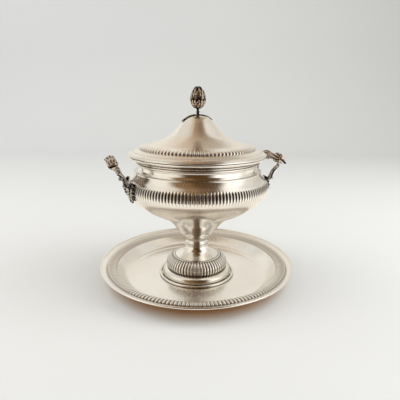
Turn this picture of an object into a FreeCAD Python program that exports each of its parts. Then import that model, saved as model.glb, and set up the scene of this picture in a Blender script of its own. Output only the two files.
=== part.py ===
"""Covered soup tureen on a round tray, in silver-plated sheet brass with cast handles and finial.

Millimetres. The origin is the middle of the tray's underside, +Z is up, and the two handles lie
along the X axis: left is -X, right is +X, front is -Y, back is +Y.

Every spun piece is a wall of revolution about Z. Its outline is a chain of runs: a run of two
points is straight, and a run of three or more is one smooth curve through its points.
"""
import FreeCAD, Part
import math
import os

Vector = FreeCAD.Vector

# ---------------------------------------------------------------- driving dimensions
# Sheet and fits
TRAY_SHEET = 1.5
BODY_SHEET = 1.5
LID_SHEET = 1.3
SEAT_CLEARANCE = 0.5          # lid bezel inside the bowl's neck
HOLE_CLEARANCE = 0.1          # round a stud or stem

# Tray
TRAY_RADIUS = 152.5
TRAY_HEIGHT = 24.5
TRAY_WIRE = 1.4               # radius of the wire rolled into the edge
TRAY_RIM_WIDTH = 15.5         # plain border outside the fluted band
TRAY_BAND_WIDTH = 15.0
TRAY_BAND_HEIGHT = 20.0       # outer edge of the fluted band, above the table
TRAY_BAND_DROP = 3.6
TRAY_WELL_WIDTH = 17.0        # slope from the fluted band down to the floor

# Foot, stacked upwards from the tray's floor
FOOT_RADIUS = 60.5
FOOT_WIRE = 1.9
FOOT_FLAT = 0.4               # how much of the wire is ground flat to stand on
FOOT_OGEE_HEIGHT = 11.8
FOOT_KNOP_HEIGHT = 20.0
FOOT_KNOP_RADIUS = 47.9
FOOT_KNOP_FOOT_INSET = 1.9    # where the knop springs from, inside its widest part
FOOT_STEP_RADIUS = 38.1
FOOT_TRUMPET_HEIGHT = 16.5
FOOT_NECK_RADIUS = 18.6

# Stem between the foot and the bowl
COLLAR_RADIUS = 19.6
COLLAR_HEIGHT = 3.4
SPOOL_RADIUS = 15.4
SPOOL_END_RADIUS = 18.4
SPOOL_HEIGHT = 9.4
STUD_RADIUS = 3.0
STUD_HEAD_RADIUS = 8.0
STUD_HEAD_HEIGHT = 1.6
STUD_SPARE_LENGTH = 3.0       # thread left showing under the nut
WASHER_RADIUS = 11.0
WASHER_HEIGHT = 1.6
NUT_HALF_WIDTH = 5.0
NUT_HEIGHT = 5.0

# Bowl, stacked upwards from the upper collar
FUNNEL_RADIUS = 21.0
FUNNEL_HEIGHT = 34.5
FLARE_RADIUS = 56.3
BELLY_HEIGHT = 46.7
BELLY_SWELL = 18.9            # widest part of the belly outside the neck
SHOULDER_HEIGHT = 22.6
LEDGE_HEIGHT = 1.4
LEDGE_WIDTH = 6.9             # ledge at the foot of the neck
NECK_RADIUS = 89.0
NECK_HEIGHT = 22.5
NECK_THROAT_HEIGHT = 7.5      # bare neck below the rim moulding

# Rim moulding round the neck: how far each member stands out from the neck
RIM_RING_OUT = 2.5
RIM_RING_HEIGHT = 2.4
RIM_BEAD_OUT = 4.0
RIM_BEAD_HEIGHT = 3.6
RIM_GROOVE_OUT = 3.2
RIM_COVE_OUT = 10.2
RIM_COVE_HEIGHT = 4.6
RIM_LIP_OUT = 13.4
RIM_CHAMFER = 0.8

# Lid, stacked upwards from the rim
LID_OVERHANG = 1.1            # lid's edge outside the rim
LID_WIRE = 1.6
LID_FLAT = 0.3
LID_STEP_INSET = 8.2          # members of the border, each from the lid's edge
LID_STEP_HEIGHT = 6.2
LID_BORDER_INSET = 16.5
LID_BORDER_HEIGHT = 3.4
LID_BAND_INSET = 24.0
LID_BAND_HEIGHT = 4.8
LID_DOME_HEIGHT = 43.4
LID_TOP_RADIUS = 4.6
BEZEL_DEPTH = 6.0             # how far the bezel reaches down inside the neck

# Finial
FINIAL_STEM_RADIUS = 1.9
FINIAL_STEM_HEIGHT = 9.4
FINIAL_FLANGE_RADIUS = 4.0
FINIAL_FLANGE_HEIGHT = 1.6
FINIAL_SPARE_LENGTH = 2.0
BUD_SEAT_RADIUS = 2.6
BUD_RADIUS = 11.1
BUD_WIDEST_HEIGHT = 12.0
BUD_HEIGHT = 32.4
CROWN_LEAF_LENGTH = 21.0
CROWN_LEAF_WIDTH = 9.0
CROWN_LEAF_SHEET = 1.5
CROWN_WASHER_INSET = 0.4      # washer's edge inside the flat top of the lid
CROWN_WASHER_HEIGHT = 1.0
CROWN_NUT_HALF_WIDTH = 3.5
CROWN_NUT_HEIGHT = 3.0

# Handles
HANDLE_REACH = 19.6           # grip axis outside the widest part of the belly
GRIP_RISE = 39.5              # grip axis above the widest part of the belly
GRIP_LENGTH = 66.0
GRIP_LOBE_RADIUS = 6.2
GRIP_WAIST_RADIUS = 4.7
GRIP_END_RADIUS = 3.6
ARM_RADIUS = 2.5
ARM_ROOT_SPACING = 48.0
ARM_ROOT_RISE = 1.0
ARM_KNEE_OUT = 8.5            # knee of the arm outside the belly
ARM_KNEE_RISE = 10.5
ARM_TOP_DROP = 4.5            # end of the arm below the grip axis
ROOT_LEAF_THICKNESS = 5.5
ROOT_LEAF_WIDTH = 17.0
ROOT_LEAF_ABOVE = 15.0
ROOT_LEAF_BELOW = 18.0
CORNER_LEAF_LENGTH = 11.0
CORNER_LEAF_RADIUS = 3.2
CORNER_LEAF_TILT = 28.0       # degrees below level
CORNER_LEAF_SPLAY = 22.0      # degrees away from straight out

# ---------------------------------------------------------------- sizes that follow
BELLY_RADIUS = NECK_RADIUS + BELLY_SWELL
SHOULDER_RADIUS = NECK_RADIUS + LEDGE_WIDTH
RIM_RADIUS = NECK_RADIUS + RIM_LIP_OUT
LID_RADIUS = RIM_RADIUS + LID_OVERHANG
GRIP_X = BELLY_RADIUS + HANDLE_REACH
STUD_HOLE = STUD_RADIUS + HOLE_CLEARANCE
STEM_HOLE = FINIAL_STEM_RADIUS + HOLE_CLEARANCE

Z_FLOOR = TRAY_SHEET
Z_FOOT_OGEE = Z_FLOOR + 2 * FOOT_WIRE - FOOT_FLAT
Z_FOOT_KNOP = Z_FLOOR + FOOT_OGEE_HEIGHT
Z_FOOT_STEP = Z_FOOT_KNOP + FOOT_KNOP_HEIGHT
Z_COLLAR_LOWER = Z_FOOT_STEP + FOOT_TRUMPET_HEIGHT
Z_SPOOL = Z_COLLAR_LOWER + COLLAR_HEIGHT
Z_COLLAR_UPPER = Z_SPOOL + SPOOL_HEIGHT
Z_BOWL = Z_COLLAR_UPPER + COLLAR_HEIGHT
Z_FLARE = Z_BOWL + FUNNEL_HEIGHT
Z_BELLY = Z_FLARE + BELLY_HEIGHT
Z_SHOULDER = Z_BELLY + SHOULDER_HEIGHT
Z_LEDGE = Z_SHOULDER + LEDGE_HEIGHT
Z_RIM = Z_LEDGE + NECK_HEIGHT
Z_LID_STEP = Z_RIM + LID_STEP_HEIGHT
Z_LID_BORDER = Z_LID_STEP + LID_BORDER_HEIGHT
Z_LID_BAND = Z_LID_BORDER + LID_BAND_HEIGHT
Z_LID_TOP = Z_LID_BAND + LID_DOME_HEIGHT
Z_BUD = Z_LID_TOP + FINIAL_STEM_HEIGHT
Z_GRIP = Z_BELLY + GRIP_RISE


# ---------------------------------------------------------------- outlines
def between(start, end, *shape):
    """A run from start to end, through points given as shares (across, up) of the way."""
    across, up = end[0] - start[0], end[1] - start[1]
    middle = [(start[0] + u * across, start[1] + v * up) for u, v in shape]
    return [start] + middle + [end]


def run_edge(run):
    points = [Vector(r, 0, z) for r, z in run]
    if len(points) == 2:
        return Part.LineSegment(*points).toShape()
    curve = Part.BSplineCurve()
    curve.interpolate(points)
    return curve.toShape()


def run_normals(run):
    """The direction to the right of travel at each point of a run."""
    count = len(run)
    normals = []
    if count == 2:
        tangents = [Vector(run[1][0] - run[0][0], 0, run[1][1] - run[0][1])] * 2
    else:
        curve = Part.BSplineCurve()
        curve.interpolate([Vector(r, 0, z) for r, z in run])
        places = [curve.parameter(Vector(r, 0, z)) for r, z in run]
        tangents = [curve.tangent(place)[0] for place in places]
    for tangent in tangents:
        normals.append(Vector(tangent.z, 0, -tangent.x).normalize())
    return normals


def offset_runs(runs, distance):
    """The chain of runs moved sideways by distance, to the left of travel when positive.

    Where two runs meet, the new corner lies on the line that halves the angle between them.
    """
    normals = [run_normals(run) for run in runs]
    moved = []
    for i, run in enumerate(runs):
        points = []
        for j, (r, z) in enumerate(run):
            normal, reach = normals[i][j], distance
            meets_before = j == 0 and i > 0
            meets_after = j == len(run) - 1 and i < len(runs) - 1
            if meets_before or meets_after:
                other = normals[i - 1][-1] if meets_before else normals[i + 1][0]
                normal = (normal + other).normalize()
                reach = distance / normal.dot(other)
            points.append((r - normal.x * reach, z - normal.z * reach))
        moved.append(points)
    return moved


def turned(runs):
    """A solid of revolution about Z from a chain of runs that is closed by a last straight run."""
    edges = [run_edge(run) for run in runs]
    first, last = runs[0][0], runs[-1][-1]
    if math.dist(first, last) > 1e-6:
        edges.append(run_edge([last, first]))
    face = Part.Face(Part.Wire(edges))
    return face.revolve(Vector(0, 0, 0), Vector(0, 0, 1), 360)


def spun_wall(runs, thickness):
    """A sheet wall of revolution: runs are its outer side, and the sheet lies to their left."""
    inner = [list(reversed(run)) for run in reversed(offset_runs(runs, thickness))]
    join = [[runs[-1][-1], inner[0][0]]]
    return turned(runs + join + inner)


def filled(runs):
    """Everything inside a chain of runs, back to the axis."""
    top = [[runs[-1][-1], (0, runs[-1][-1][1])]]
    axis = [[(0, runs[-1][-1][1]), (0, runs[0][0][1])]]
    return turned(runs + top + axis)


def ring_wire(radius, height, section):
    return Part.makeTorus(radius, section, Vector(0, 0, height), Vector(0, 0, 1))


def disc(radius, height, z, hole=0.0):
    solid = Part.makeCylinder(radius, height, Vector(0, 0, z))
    if hole:
        solid = solid.cut(Part.makeCylinder(hole, height, Vector(0, 0, z)))
    return solid


def hex_nut(half_width, height, z, hole):
    corner = half_width / math.cos(math.radians(30))
    turn = [math.radians(60 * i) for i in range(7)]
    outline = Part.makePolygon([Vector(corner * math.cos(a), corner * math.sin(a), z) for a in turn])
    solid = Part.Face(outline).extrude(Vector(0, 0, height))
    return solid.cut(Part.makeCylinder(hole, height, Vector(0, 0, z)))


# ---------------------------------------------------------------- outlines of the spun pieces
def tray_top():
    """Upper side of the tray, from the rolled edge in to the middle of the floor."""
    edge = (TRAY_RADIUS - TRAY_WIRE, TRAY_HEIGHT - TRAY_WIRE)
    band_out = (TRAY_RADIUS - TRAY_RIM_WIDTH, TRAY_BAND_HEIGHT)
    band_in = (band_out[0] - TRAY_BAND_WIDTH, TRAY_BAND_HEIGHT - TRAY_BAND_DROP)
    floor = (band_in[0] - TRAY_WELL_WIDTH, Z_FLOOR)
    return [
        between(edge, band_out, (0.35, 0.55), (0.7, 0.88)),
        between(band_out, band_in, (0.5, 0.28)),
        between(band_in, floor, (0.22, 0.45), (0.55, 0.85), (0.8, 0.97)),
        [floor, (0, Z_FLOOR)],
    ]


def foot_outside():
    """Outside of the foot, from the rolled base up to the neck."""
    base = (FOOT_RADIUS - 2.6 * FOOT_WIRE, Z_FOOT_OGEE)
    ogee = (FOOT_KNOP_RADIUS - FOOT_KNOP_FOOT_INSET, Z_FOOT_KNOP)
    step = (FOOT_STEP_RADIUS, Z_FOOT_STEP)
    neck = (FOOT_NECK_RADIUS, Z_COLLAR_LOWER)
    bulge = FOOT_KNOP_RADIUS
    knop = [
        ogee,
        (bulge, Z_FOOT_KNOP + 0.3 * FOOT_KNOP_HEIGHT),
        (bulge - 1.6, Z_FOOT_KNOP + 0.62 * FOOT_KNOP_HEIGHT),
        step,
    ]
    return [
        between(base, ogee, (0.3, 0.4), (0.75, 0.72)),
        knop,
        between(step, neck, (0.5, 0.22), (0.86, 0.56)),
    ]


def bowl_outside():
    """Outside of the bowl, from its seat on the collar up to the rim."""
    seat = (FUNNEL_RADIUS, Z_BOWL)
    flare = (FLARE_RADIUS, Z_FLARE)
    belly = (BELLY_RADIUS, Z_BELLY)
    shoulder = (SHOULDER_RADIUS, Z_SHOULDER)
    ledge_out = (SHOULDER_RADIUS, Z_LEDGE)
    ledge_in = (NECK_RADIUS + 1.7, Z_LEDGE)
    neck = (NECK_RADIUS, Z_LEDGE + 0.45 * NECK_THROAT_HEIGHT)
    below = between(seat, flare, (0.19, 0.17), (0.31, 0.35), (0.59, 0.70))
    above = between(flare, belly, (0.29, 0.16), (0.64, 0.40), (0.90, 0.69))
    over = between(belly, shoulder, (0.28, 0.46), (0.68, 0.72))
    return [
        below + above[1:] + over[1:],
        [shoulder, ledge_out],
        [ledge_out, ledge_in],
        between(ledge_in, neck, (0.6, 0.3)),
        [neck, (NECK_RADIUS, Z_RIM)],
    ]


def lid_outside():
    """Outside of the lid, from the rolled edge up to the hole for the finial."""
    edge = (LID_RADIUS - LID_WIRE, Z_RIM + 2 * LID_WIRE - LID_FLAT)
    step = (LID_RADIUS - LID_STEP_INSET, Z_LID_STEP)
    border = (LID_RADIUS - LID_BORDER_INSET, Z_LID_BORDER)
    band = (LID_RADIUS - LID_BAND_INSET, Z_LID_BAND)
    top = (LID_TOP_RADIUS, Z_LID_TOP)
    dome = between(
        band, top,
        (0.127, 0.035), (0.26, 0.115), (0.385, 0.21), (0.514, 0.34),
        (0.615, 0.505), (0.70, 0.672), (0.795, 0.853), (0.883, 0.952),
    )
    return [
        between(edge, step, (0.45, 0.68)),
        [step, border],
        between(border, band, (0.35, 0.66)),
        dome,
        [top, (STEM_HOLE, Z_LID_TOP)],
    ]


# ---------------------------------------------------------------- tray
def make_tray():
    """The dish and the wire rolled into its edge; the floor is flat where it stands on the table."""
    wire = ring_wire(TRAY_RADIUS - TRAY_WIRE, TRAY_HEIGHT - TRAY_WIRE, TRAY_WIRE)
    table = disc(TRAY_RADIUS, TRAY_SHEET, -TRAY_SHEET)
    dish = spun_wall(tray_top(), TRAY_SHEET).cut(wire).cut(table)
    return {"tray_dish": dish, "tray_rim_wire": wire}


# ---------------------------------------------------------------- foot and stem
def make_foot():
    """The foot's sheet and its base wire, which is ground flat and stands on the tray's floor."""
    wire_height = Z_FLOOR + FOOT_WIRE - FOOT_FLAT
    wire = ring_wire(FOOT_RADIUS - FOOT_WIRE, wire_height, FOOT_WIRE)
    floor = Part.makeCylinder(FOOT_RADIUS * 2, Z_FLOOR)
    wire = wire.cut(floor)
    turn_down = [[(FOOT_RADIUS - FOOT_WIRE, wire_height), foot_outside()[0][0]]]
    neck = foot_outside()[-1][-1]
    outline = turn_down + foot_outside() + [[neck, (STUD_HOLE, neck[1])]]
    shell = spun_wall(outline, BODY_SHEET).cut(wire).cut(floor)
    return {"foot_shell": shell, "foot_rim_wire": wire}


def collar(z):
    """A bead of the stem that stands on height z."""
    top = z + COLLAR_HEIGHT
    inner = COLLAR_RADIUS - COLLAR_HEIGHT / 2
    bead = [(inner, z), (COLLAR_RADIUS, (z + top) / 2), (inner, top)]
    return turned([[(STUD_HOLE, z), bead[0]], bead, [bead[-1], (STUD_HOLE, top)]])


def make_stem():
    """Two beads and a spool, with the stud, washer and nut that draw bowl, stem and foot together."""
    top = Z_SPOOL + SPOOL_HEIGHT
    waist = [(SPOOL_END_RADIUS, Z_SPOOL), (SPOOL_RADIUS, Z_SPOOL + SPOOL_HEIGHT / 2), (SPOOL_END_RADIUS, top)]
    spool = turned([[(STUD_HOLE, Z_SPOOL), waist[0]], waist, [waist[-1], (STUD_HOLE, top)]])

    head_z = Z_BOWL - STUD_HEAD_HEIGHT
    head_room = disc(STUD_HEAD_RADIUS + HOLE_CLEARANCE, STUD_HEAD_HEIGHT, head_z)
    washer_z = Z_COLLAR_LOWER - BODY_SHEET - WASHER_HEIGHT
    nut_z = washer_z - NUT_HEIGHT
    stud_bottom = nut_z - STUD_SPARE_LENGTH
    stud = disc(STUD_RADIUS, Z_BOWL - stud_bottom, stud_bottom).fuse(
        disc(STUD_HEAD_RADIUS, STUD_HEAD_HEIGHT, head_z)).removeSplitter()
    return {
        "stem_collar_lower": collar(Z_COLLAR_LOWER),
        "stem_spool": spool,
        "stem_collar_upper": collar(Z_COLLAR_UPPER).cut(head_room),
        "stem_stud": stud,
        "stem_washer": disc(WASHER_RADIUS, WASHER_HEIGHT, washer_z, STUD_HOLE),
        "stem_nut": hex_nut(NUT_HALF_WIDTH, NUT_HEIGHT, nut_z, STUD_HOLE),
    }


# ---------------------------------------------------------------- bowl
def make_bowl():
    """The bowl's sheet, with a closed bottom, and the stepped moulding that the lid stands on."""
    floor = [[(0, Z_BOWL), (FUNNEL_RADIUS, Z_BOWL)]]
    shell = spun_wall(floor + bowl_outside(), BODY_SHEET)

    z0 = Z_LEDGE + NECK_THROAT_HEIGHT
    ring = NECK_RADIUS + RIM_RING_OUT
    bead = NECK_RADIUS + RIM_BEAD_OUT
    groove = NECK_RADIUS + RIM_GROOVE_OUT
    cove = NECK_RADIUS + RIM_COVE_OUT
    z1 = z0 + RIM_RING_HEIGHT
    z2 = z1 + RIM_BEAD_HEIGHT
    z3 = z2 + RIM_COVE_HEIGHT
    moulding = turned([
        between((NECK_RADIUS, z0), (ring, z1), (0.8, 0.3)),
        [(ring, z1), (bead, z1 + 0.3 * RIM_BEAD_HEIGHT), (bead, z1 + 0.7 * RIM_BEAD_HEIGHT), (groove, z2)],
        between((groove, z2), (cove, z3), (0.3, 0.55)),
        between((cove, z3), (RIM_RADIUS, Z_RIM - RIM_CHAMFER), (0.75, 0.3)),
        [(RIM_RADIUS, Z_RIM - RIM_CHAMFER), (RIM_RADIUS - RIM_CHAMFER, Z_RIM)],
        [(RIM_RADIUS - RIM_CHAMFER, Z_RIM), (NECK_RADIUS, Z_RIM)],
    ])
    return {"bowl_shell": shell, "bowl_rim_moulding": moulding}


# ---------------------------------------------------------------- handles
def arc_upright(plane_point, foot, knee):
    """The arc from foot to knee that stands upright at the knee, in one vertical plane."""
    across, up = foot[0] - knee[0], foot[1] - knee[1]
    radius = (across ** 2 + up ** 2) / (2 * abs(across))
    centre = knee[0] + math.copysign(radius, across)
    half = math.atan2(abs(up), radius - abs(across)) / 2
    middle = (centre - math.copysign(radius * math.cos(half), across),
              knee[1] + math.copysign(radius * math.sin(half), up))
    return Part.Arc(plane_point(*foot), plane_point(*middle), plane_point(*knee)).toShape()


def make_arm(side):
    """One arm of the right-hand handle; side is -1 for the front arm and +1 for the back arm."""
    y_root = ARM_ROOT_SPACING / 2
    x_root = math.sqrt(BELLY_RADIUS ** 2 - y_root ** 2) - BODY_SHEET / 2
    root = Vector(x_root, side * y_root, 0)
    end = Vector(GRIP_X, side * (GRIP_LENGTH / 2 - ARM_RADIUS), 0)
    along = (end - root).normalize()

    def plane_point(s, z):
        return root + along * s + Vector(0, 0, z)

    start = (0.0, Z_BELLY + ARM_ROOT_RISE)
    knee = (ARM_KNEE_OUT, Z_BELLY + ARM_KNEE_RISE)
    finish = ((end - root).Length, Z_GRIP - ARM_TOP_DROP)
    lower = arc_upright(plane_point, start, knee)
    upper = arc_upright(plane_point, finish, knee)
    path = Part.Wire([lower, upper])
    tangent = lower.tangentAt(lower.FirstParameter)
    section = Part.Wire([Part.makeCircle(ARM_RADIUS, plane_point(*start), tangent)])
    return path.makePipeShell([section], True, False)


def make_grip():
    """The bar of the right-hand handle: two swelling lobes with a waist between them."""
    half = GRIP_LENGTH / 2
    profile = [
        (GRIP_END_RADIUS, -half),
        (GRIP_LOBE_RADIUS, -half * 0.5),
        (GRIP_WAIST_RADIUS, 0),
        (GRIP_LOBE_RADIUS, half * 0.5),
        (GRIP_END_RADIUS, half),
    ]
    bar = turned([[(0, -half), profile[0]], profile, [profile[-1], (0, half)]])
    bar.rotate(Vector(0, 0, 0), Vector(1, 0, 0), -90)
    bar.translate(Vector(GRIP_X, 0, Z_GRIP))
    return bar


def make_corner_leaf(side):
    """The pointed leaf that stands out from the grip's end over the arm."""
    length, radius = CORNER_LEAF_LENGTH, CORNER_LEAF_RADIUS
    leaf = turned([[(0, 0), (0.7 * radius, 0)],
                   [(0.7 * radius, 0), (radius, 0.35 * length), (0.55 * radius, 0.75 * length), (0.4, length)],
                   [(0.4, length), (0, length)]])
    leaf.rotate(Vector(0, 0, 0), Vector(0, 1, 0), 90 + CORNER_LEAF_TILT)
    leaf.rotate(Vector(0, 0, 0), Vector(0, 0, 1), side * CORNER_LEAF_SPLAY)
    leaf.translate(Vector(GRIP_X, side * (GRIP_LENGTH / 2 - ARM_RADIUS), Z_GRIP - ARM_TOP_DROP / 2))
    return leaf


def make_root_leaf(side, outside, padded):
    """A leaf that hugs the belly under the arm's root, cut from a thick skin round the bowl."""
    y = side * ARM_ROOT_SPACING / 2
    half = ROOT_LEAF_WIDTH / 2
    top, bottom = Z_BELLY + ROOT_LEAF_ABOVE, Z_BELLY - ROOT_LEAF_BELOW
    x = BELLY_RADIUS / 2
    tip, crest = Vector(x, y, bottom), Vector(x, y, top)
    arcs = []
    for edge in (-1, 1):
        widest = Vector(x, y + edge * half, Z_BELLY)
        low = Vector(x, y + edge * 0.68 * half, Z_BELLY - 0.58 * ROOT_LEAF_BELOW)
        high = Vector(x, y + edge * 0.72 * half, Z_BELLY + 0.7 * ROOT_LEAF_ABOVE)
        arcs += [Part.Arc(tip, low, widest).toShape(), Part.Arc(widest, high, crest).toShape()]
    outline = Part.Wire(Part.sortEdges(arcs)[0])
    prism = Part.Face(outline).extrude(Vector(BELLY_RADIUS, 0, 0))
    return padded.common(prism).cut(outside)


def make_handles():
    """Both handles: the right one is made, and the left one is its mirror image."""
    outside = filled([[(0, Z_BOWL), (FUNNEL_RADIUS, Z_BOWL)]] + bowl_outside())
    padded = filled(offset_runs(bowl_outside()[:1], -ROOT_LEAF_THICKNESS))
    grip = make_grip()
    right = {"grip": grip}
    for side, end in ((-1, "front"), (1, "back")):
        leaf = make_root_leaf(side, outside, padded)
        arm = make_arm(side).cut(outside).cut(leaf).cut(grip)
        corner = make_corner_leaf(side).cut(grip).cut(arm)
        right["arm_" + end] = arm
        right["root_leaf_" + end] = leaf
        right["corner_leaf_" + end] = corner
    nodes = {}
    for name, solid in right.items():
        nodes["handle_right_" + name] = solid
        nodes["handle_left_" + name] = solid.mirror(Vector(0, 0, 0), Vector(1, 0, 0))
    return nodes


# ---------------------------------------------------------------- lid
def make_lid():
    """The lid's sheet, the wire in its edge, and the bezel that drops into the bowl's neck."""
    wire_z = Z_RIM + LID_WIRE - LID_FLAT
    wire = ring_wire(LID_RADIUS - LID_WIRE, wire_z, LID_WIRE)
    wire = wire.cut(disc(LID_RADIUS * 2, LID_WIRE, Z_RIM - LID_WIRE))
    shell = spun_wall(lid_outside(), LID_SHEET).cut(wire)

    bezel_out = NECK_RADIUS - BODY_SHEET - SEAT_CLEARANCE
    bezel_in = bezel_out - LID_SHEET
    bottom = Z_RIM - BEZEL_DEPTH
    height = Z_LID_BAND - bottom
    under_dome = filled(offset_runs(lid_outside()[:-1], LID_SHEET))
    under_border = disc(LID_RADIUS, Z_LID_STEP - LID_SHEET - bottom, bottom)
    bezel = disc(bezel_out, height, bottom, bezel_in).common(under_dome.fuse(under_border))
    return {"lid_shell": shell, "lid_rim_wire": wire, "lid_bezel": bezel}


def make_crown_leaf(side, outside, padded):
    """A leaf that lies on the top of the dome, towards the left (-1) or the right (+1) handle."""
    half = CROWN_LEAF_WIDTH / 2
    hub = FINIAL_FLANGE_RADIUS
    tip = hub + CROWN_LEAF_LENGTH
    z = Z_LID_TOP - LID_DOME_HEIGHT
    right = Part.Arc(Vector(hub, -1.5, z), Vector(hub + 0.5 * CROWN_LEAF_LENGTH, -half, z), Vector(tip, 0, z))
    left = Part.Arc(Vector(tip, 0, z), Vector(hub + 0.5 * CROWN_LEAF_LENGTH, half, z), Vector(hub, 1.5, z))
    back = Part.LineSegment(Vector(hub, 1.5, z), Vector(hub, -1.5, z))
    outline = Part.Wire([edge.toShape() for edge in (right, left, back)])
    prism = Part.Face(outline).extrude(Vector(0, 0, 2 * LID_DOME_HEIGHT))
    leaf = padded.common(prism).cut(outside)
    if side < 0:
        leaf = leaf.mirror(Vector(0, 0, 0), Vector(1, 0, 0))
    return leaf


def make_finial():
    """The bud on its stem, the two leaves under it, and the washer and nut inside the lid."""
    dome = lid_outside()[3:4]
    outside = filled(dome)
    padded = filled(offset_runs(dome, -CROWN_LEAF_SHEET))

    washer_r = LID_TOP_RADIUS - CROWN_WASHER_INSET
    washer_z = Z_LID_TOP - LID_SHEET - CROWN_WASHER_HEIGHT
    nut_z = washer_z - CROWN_NUT_HEIGHT
    stem_bottom = nut_z - FINIAL_SPARE_LENGTH
    stem = disc(FINIAL_STEM_RADIUS, Z_BUD - stem_bottom, stem_bottom).fuse(
        disc(FINIAL_FLANGE_RADIUS, FINIAL_FLANGE_HEIGHT, Z_LID_TOP)).removeSplitter()

    widest = Z_BUD + BUD_WIDEST_HEIGHT
    crest = Z_BUD + BUD_HEIGHT
    upper = BUD_HEIGHT - BUD_WIDEST_HEIGHT
    side = [
        (BUD_SEAT_RADIUS, Z_BUD),
        (0.78 * BUD_RADIUS, Z_BUD + 0.4 * BUD_WIDEST_HEIGHT),
        (BUD_RADIUS, widest),
        (0.82 * BUD_RADIUS, widest + 0.52 * upper),
        (0.45 * BUD_RADIUS, widest + 0.86 * upper),
        (0.6, crest),
    ]
    bud = turned([[(0, Z_BUD), side[0]], side, [side[-1], (0, crest)]])
    return {
        "finial_stem": stem,
        "finial_bud": bud,
        "finial_leaf_left": make_crown_leaf(-1, outside, padded),
        "finial_leaf_right": make_crown_leaf(1, outside, padded),
        "finial_washer": disc(washer_r, CROWN_WASHER_HEIGHT, washer_z, STEM_HOLE),
        "finial_nut": hex_nut(CROWN_NUT_HALF_WIDTH, CROWN_NUT_HEIGHT, nut_z, STEM_HOLE),
    }


# ---------------------------------------------------------------- build and export
def main():
    nodes = {}
    for make in (make_tray, make_foot, make_stem, make_bowl, make_handles, make_lid, make_finial):
        nodes.update(make())
    os.makedirs("parts", exist_ok=True)
    for name, shape in sorted(nodes.items()):
        solids = shape.Solids
        box = shape.BoundBox
        print("%-28s solids %d valid %s volume %9.1f  z %7.2f to %7.2f  r %6.1f" % (
            name, len(solids), shape.isValid(), shape.Volume, box.ZMin, box.ZMax, max(box.XMax, box.YMax)))
        shape.exportStep("parts/%s.step" % name)


main()
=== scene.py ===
# %% [markdown]
# # A covered soup tureen on its tray
#
# This lesson builds the looks of a silver-plated tureen: a round tray, a footed bowl with reeded
# bands and two cast handles, and a domed lid with a bud on top. The construction model, with every
# piece at its real size, is loaded first as a fixed frame. Each part of the lesson then makes one
# piece that takes the place of a plain construction solid, and rides on the same body.

# %% Load the frame
import math

import bmesh
import bpy
import numpy as np
from mathutils import Matrix, Vector


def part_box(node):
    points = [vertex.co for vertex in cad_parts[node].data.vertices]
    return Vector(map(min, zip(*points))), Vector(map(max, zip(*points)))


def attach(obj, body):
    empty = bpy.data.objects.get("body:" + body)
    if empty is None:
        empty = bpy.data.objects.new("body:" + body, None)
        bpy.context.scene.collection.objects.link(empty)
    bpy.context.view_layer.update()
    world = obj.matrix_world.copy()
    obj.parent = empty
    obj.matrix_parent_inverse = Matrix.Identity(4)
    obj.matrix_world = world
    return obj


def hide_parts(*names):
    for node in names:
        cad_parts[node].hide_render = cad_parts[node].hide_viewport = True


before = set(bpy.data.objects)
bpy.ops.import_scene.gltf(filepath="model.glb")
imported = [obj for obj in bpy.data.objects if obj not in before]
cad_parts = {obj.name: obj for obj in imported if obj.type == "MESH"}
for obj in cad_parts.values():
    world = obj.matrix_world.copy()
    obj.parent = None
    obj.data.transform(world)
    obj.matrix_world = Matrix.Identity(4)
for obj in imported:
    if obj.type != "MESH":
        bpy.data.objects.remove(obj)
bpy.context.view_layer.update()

MM = 0.001

# %% [markdown]
# ## Heights and radii to work from
#
# A spun object is a stack of rings, so all that is needed from the frame is where each ring begins
# and ends. Reading these from the construction model, rather than typing them again, keeps every
# visible piece seated on its neighbour. The sheet and the wires are the stock that a silversmith
# picks, and the counts say how many reeds, gadroons or flutes go round each band.

# %% Read the heights of the stack
def low(node):
    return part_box(node)[0] / MM


def high(node):
    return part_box(node)[1] / MM


TRAY_R, TRAY_TOP = high("tray_rim_wire").x, high("tray_rim_wire").z
FLOOR_Z = low("foot_rim_wire").z
FOOT_R = high("foot_rim_wire").x
COLLAR_Z = low("stem_collar_lower").z
SPOOL_Z = low("stem_spool").z
UPPER_COLLAR_Z = low("stem_collar_upper").z
BOWL_Z, BELLY_R = low("bowl_shell").z, high("bowl_shell").x
BELLY_Z = BOWL_Z + 81.2
NECK_R = BELLY_R - 18.9
RIM_Z = high("bowl_shell").z
LID_R, LID_TOP = high("lid_rim_wire").x, high("lid_shell").z
BUD_Z, BUD_TOP = low("finial_bud").z, high("finial_bud").z
SHEET, LID_SHEET = 1.5, 1.3
TRAY_WIRE, FOOT_WIRE, LID_WIRE = 1.4, 1.9, 1.6
TRAY_REEDS, FOOT_GADROONS, BOWL_REEDS, LID_FLUTES = 168, 60, 144, 100
print("bowl from", round(BOWL_Z, 1), "to", round(RIM_Z, 1), "mm, lid top", round(LID_TOP, 1))

# %% [markdown]
# ## Small helpers for node trees
#
# Finishes and turned shapes are both written as node trees, and each tree is mostly sums and
# mixes of values. Naming those few steps once keeps every tree short enough to read as a recipe.

# %% Name the steps that node trees share
def node(tree, kind, inputs=None, **settings):
    """Adds a node, sets its properties, and fills its inputs with values or links."""
    made = tree.nodes.new(kind)
    for key, value in settings.items():
        setattr(made, key, value)
    for key, value in (inputs or {}).items():
        if isinstance(value, bpy.types.NodeSocket):
            tree.links.new(value, made.inputs[key])
        else:
            made.inputs[key].default_value = value
    return made


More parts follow.
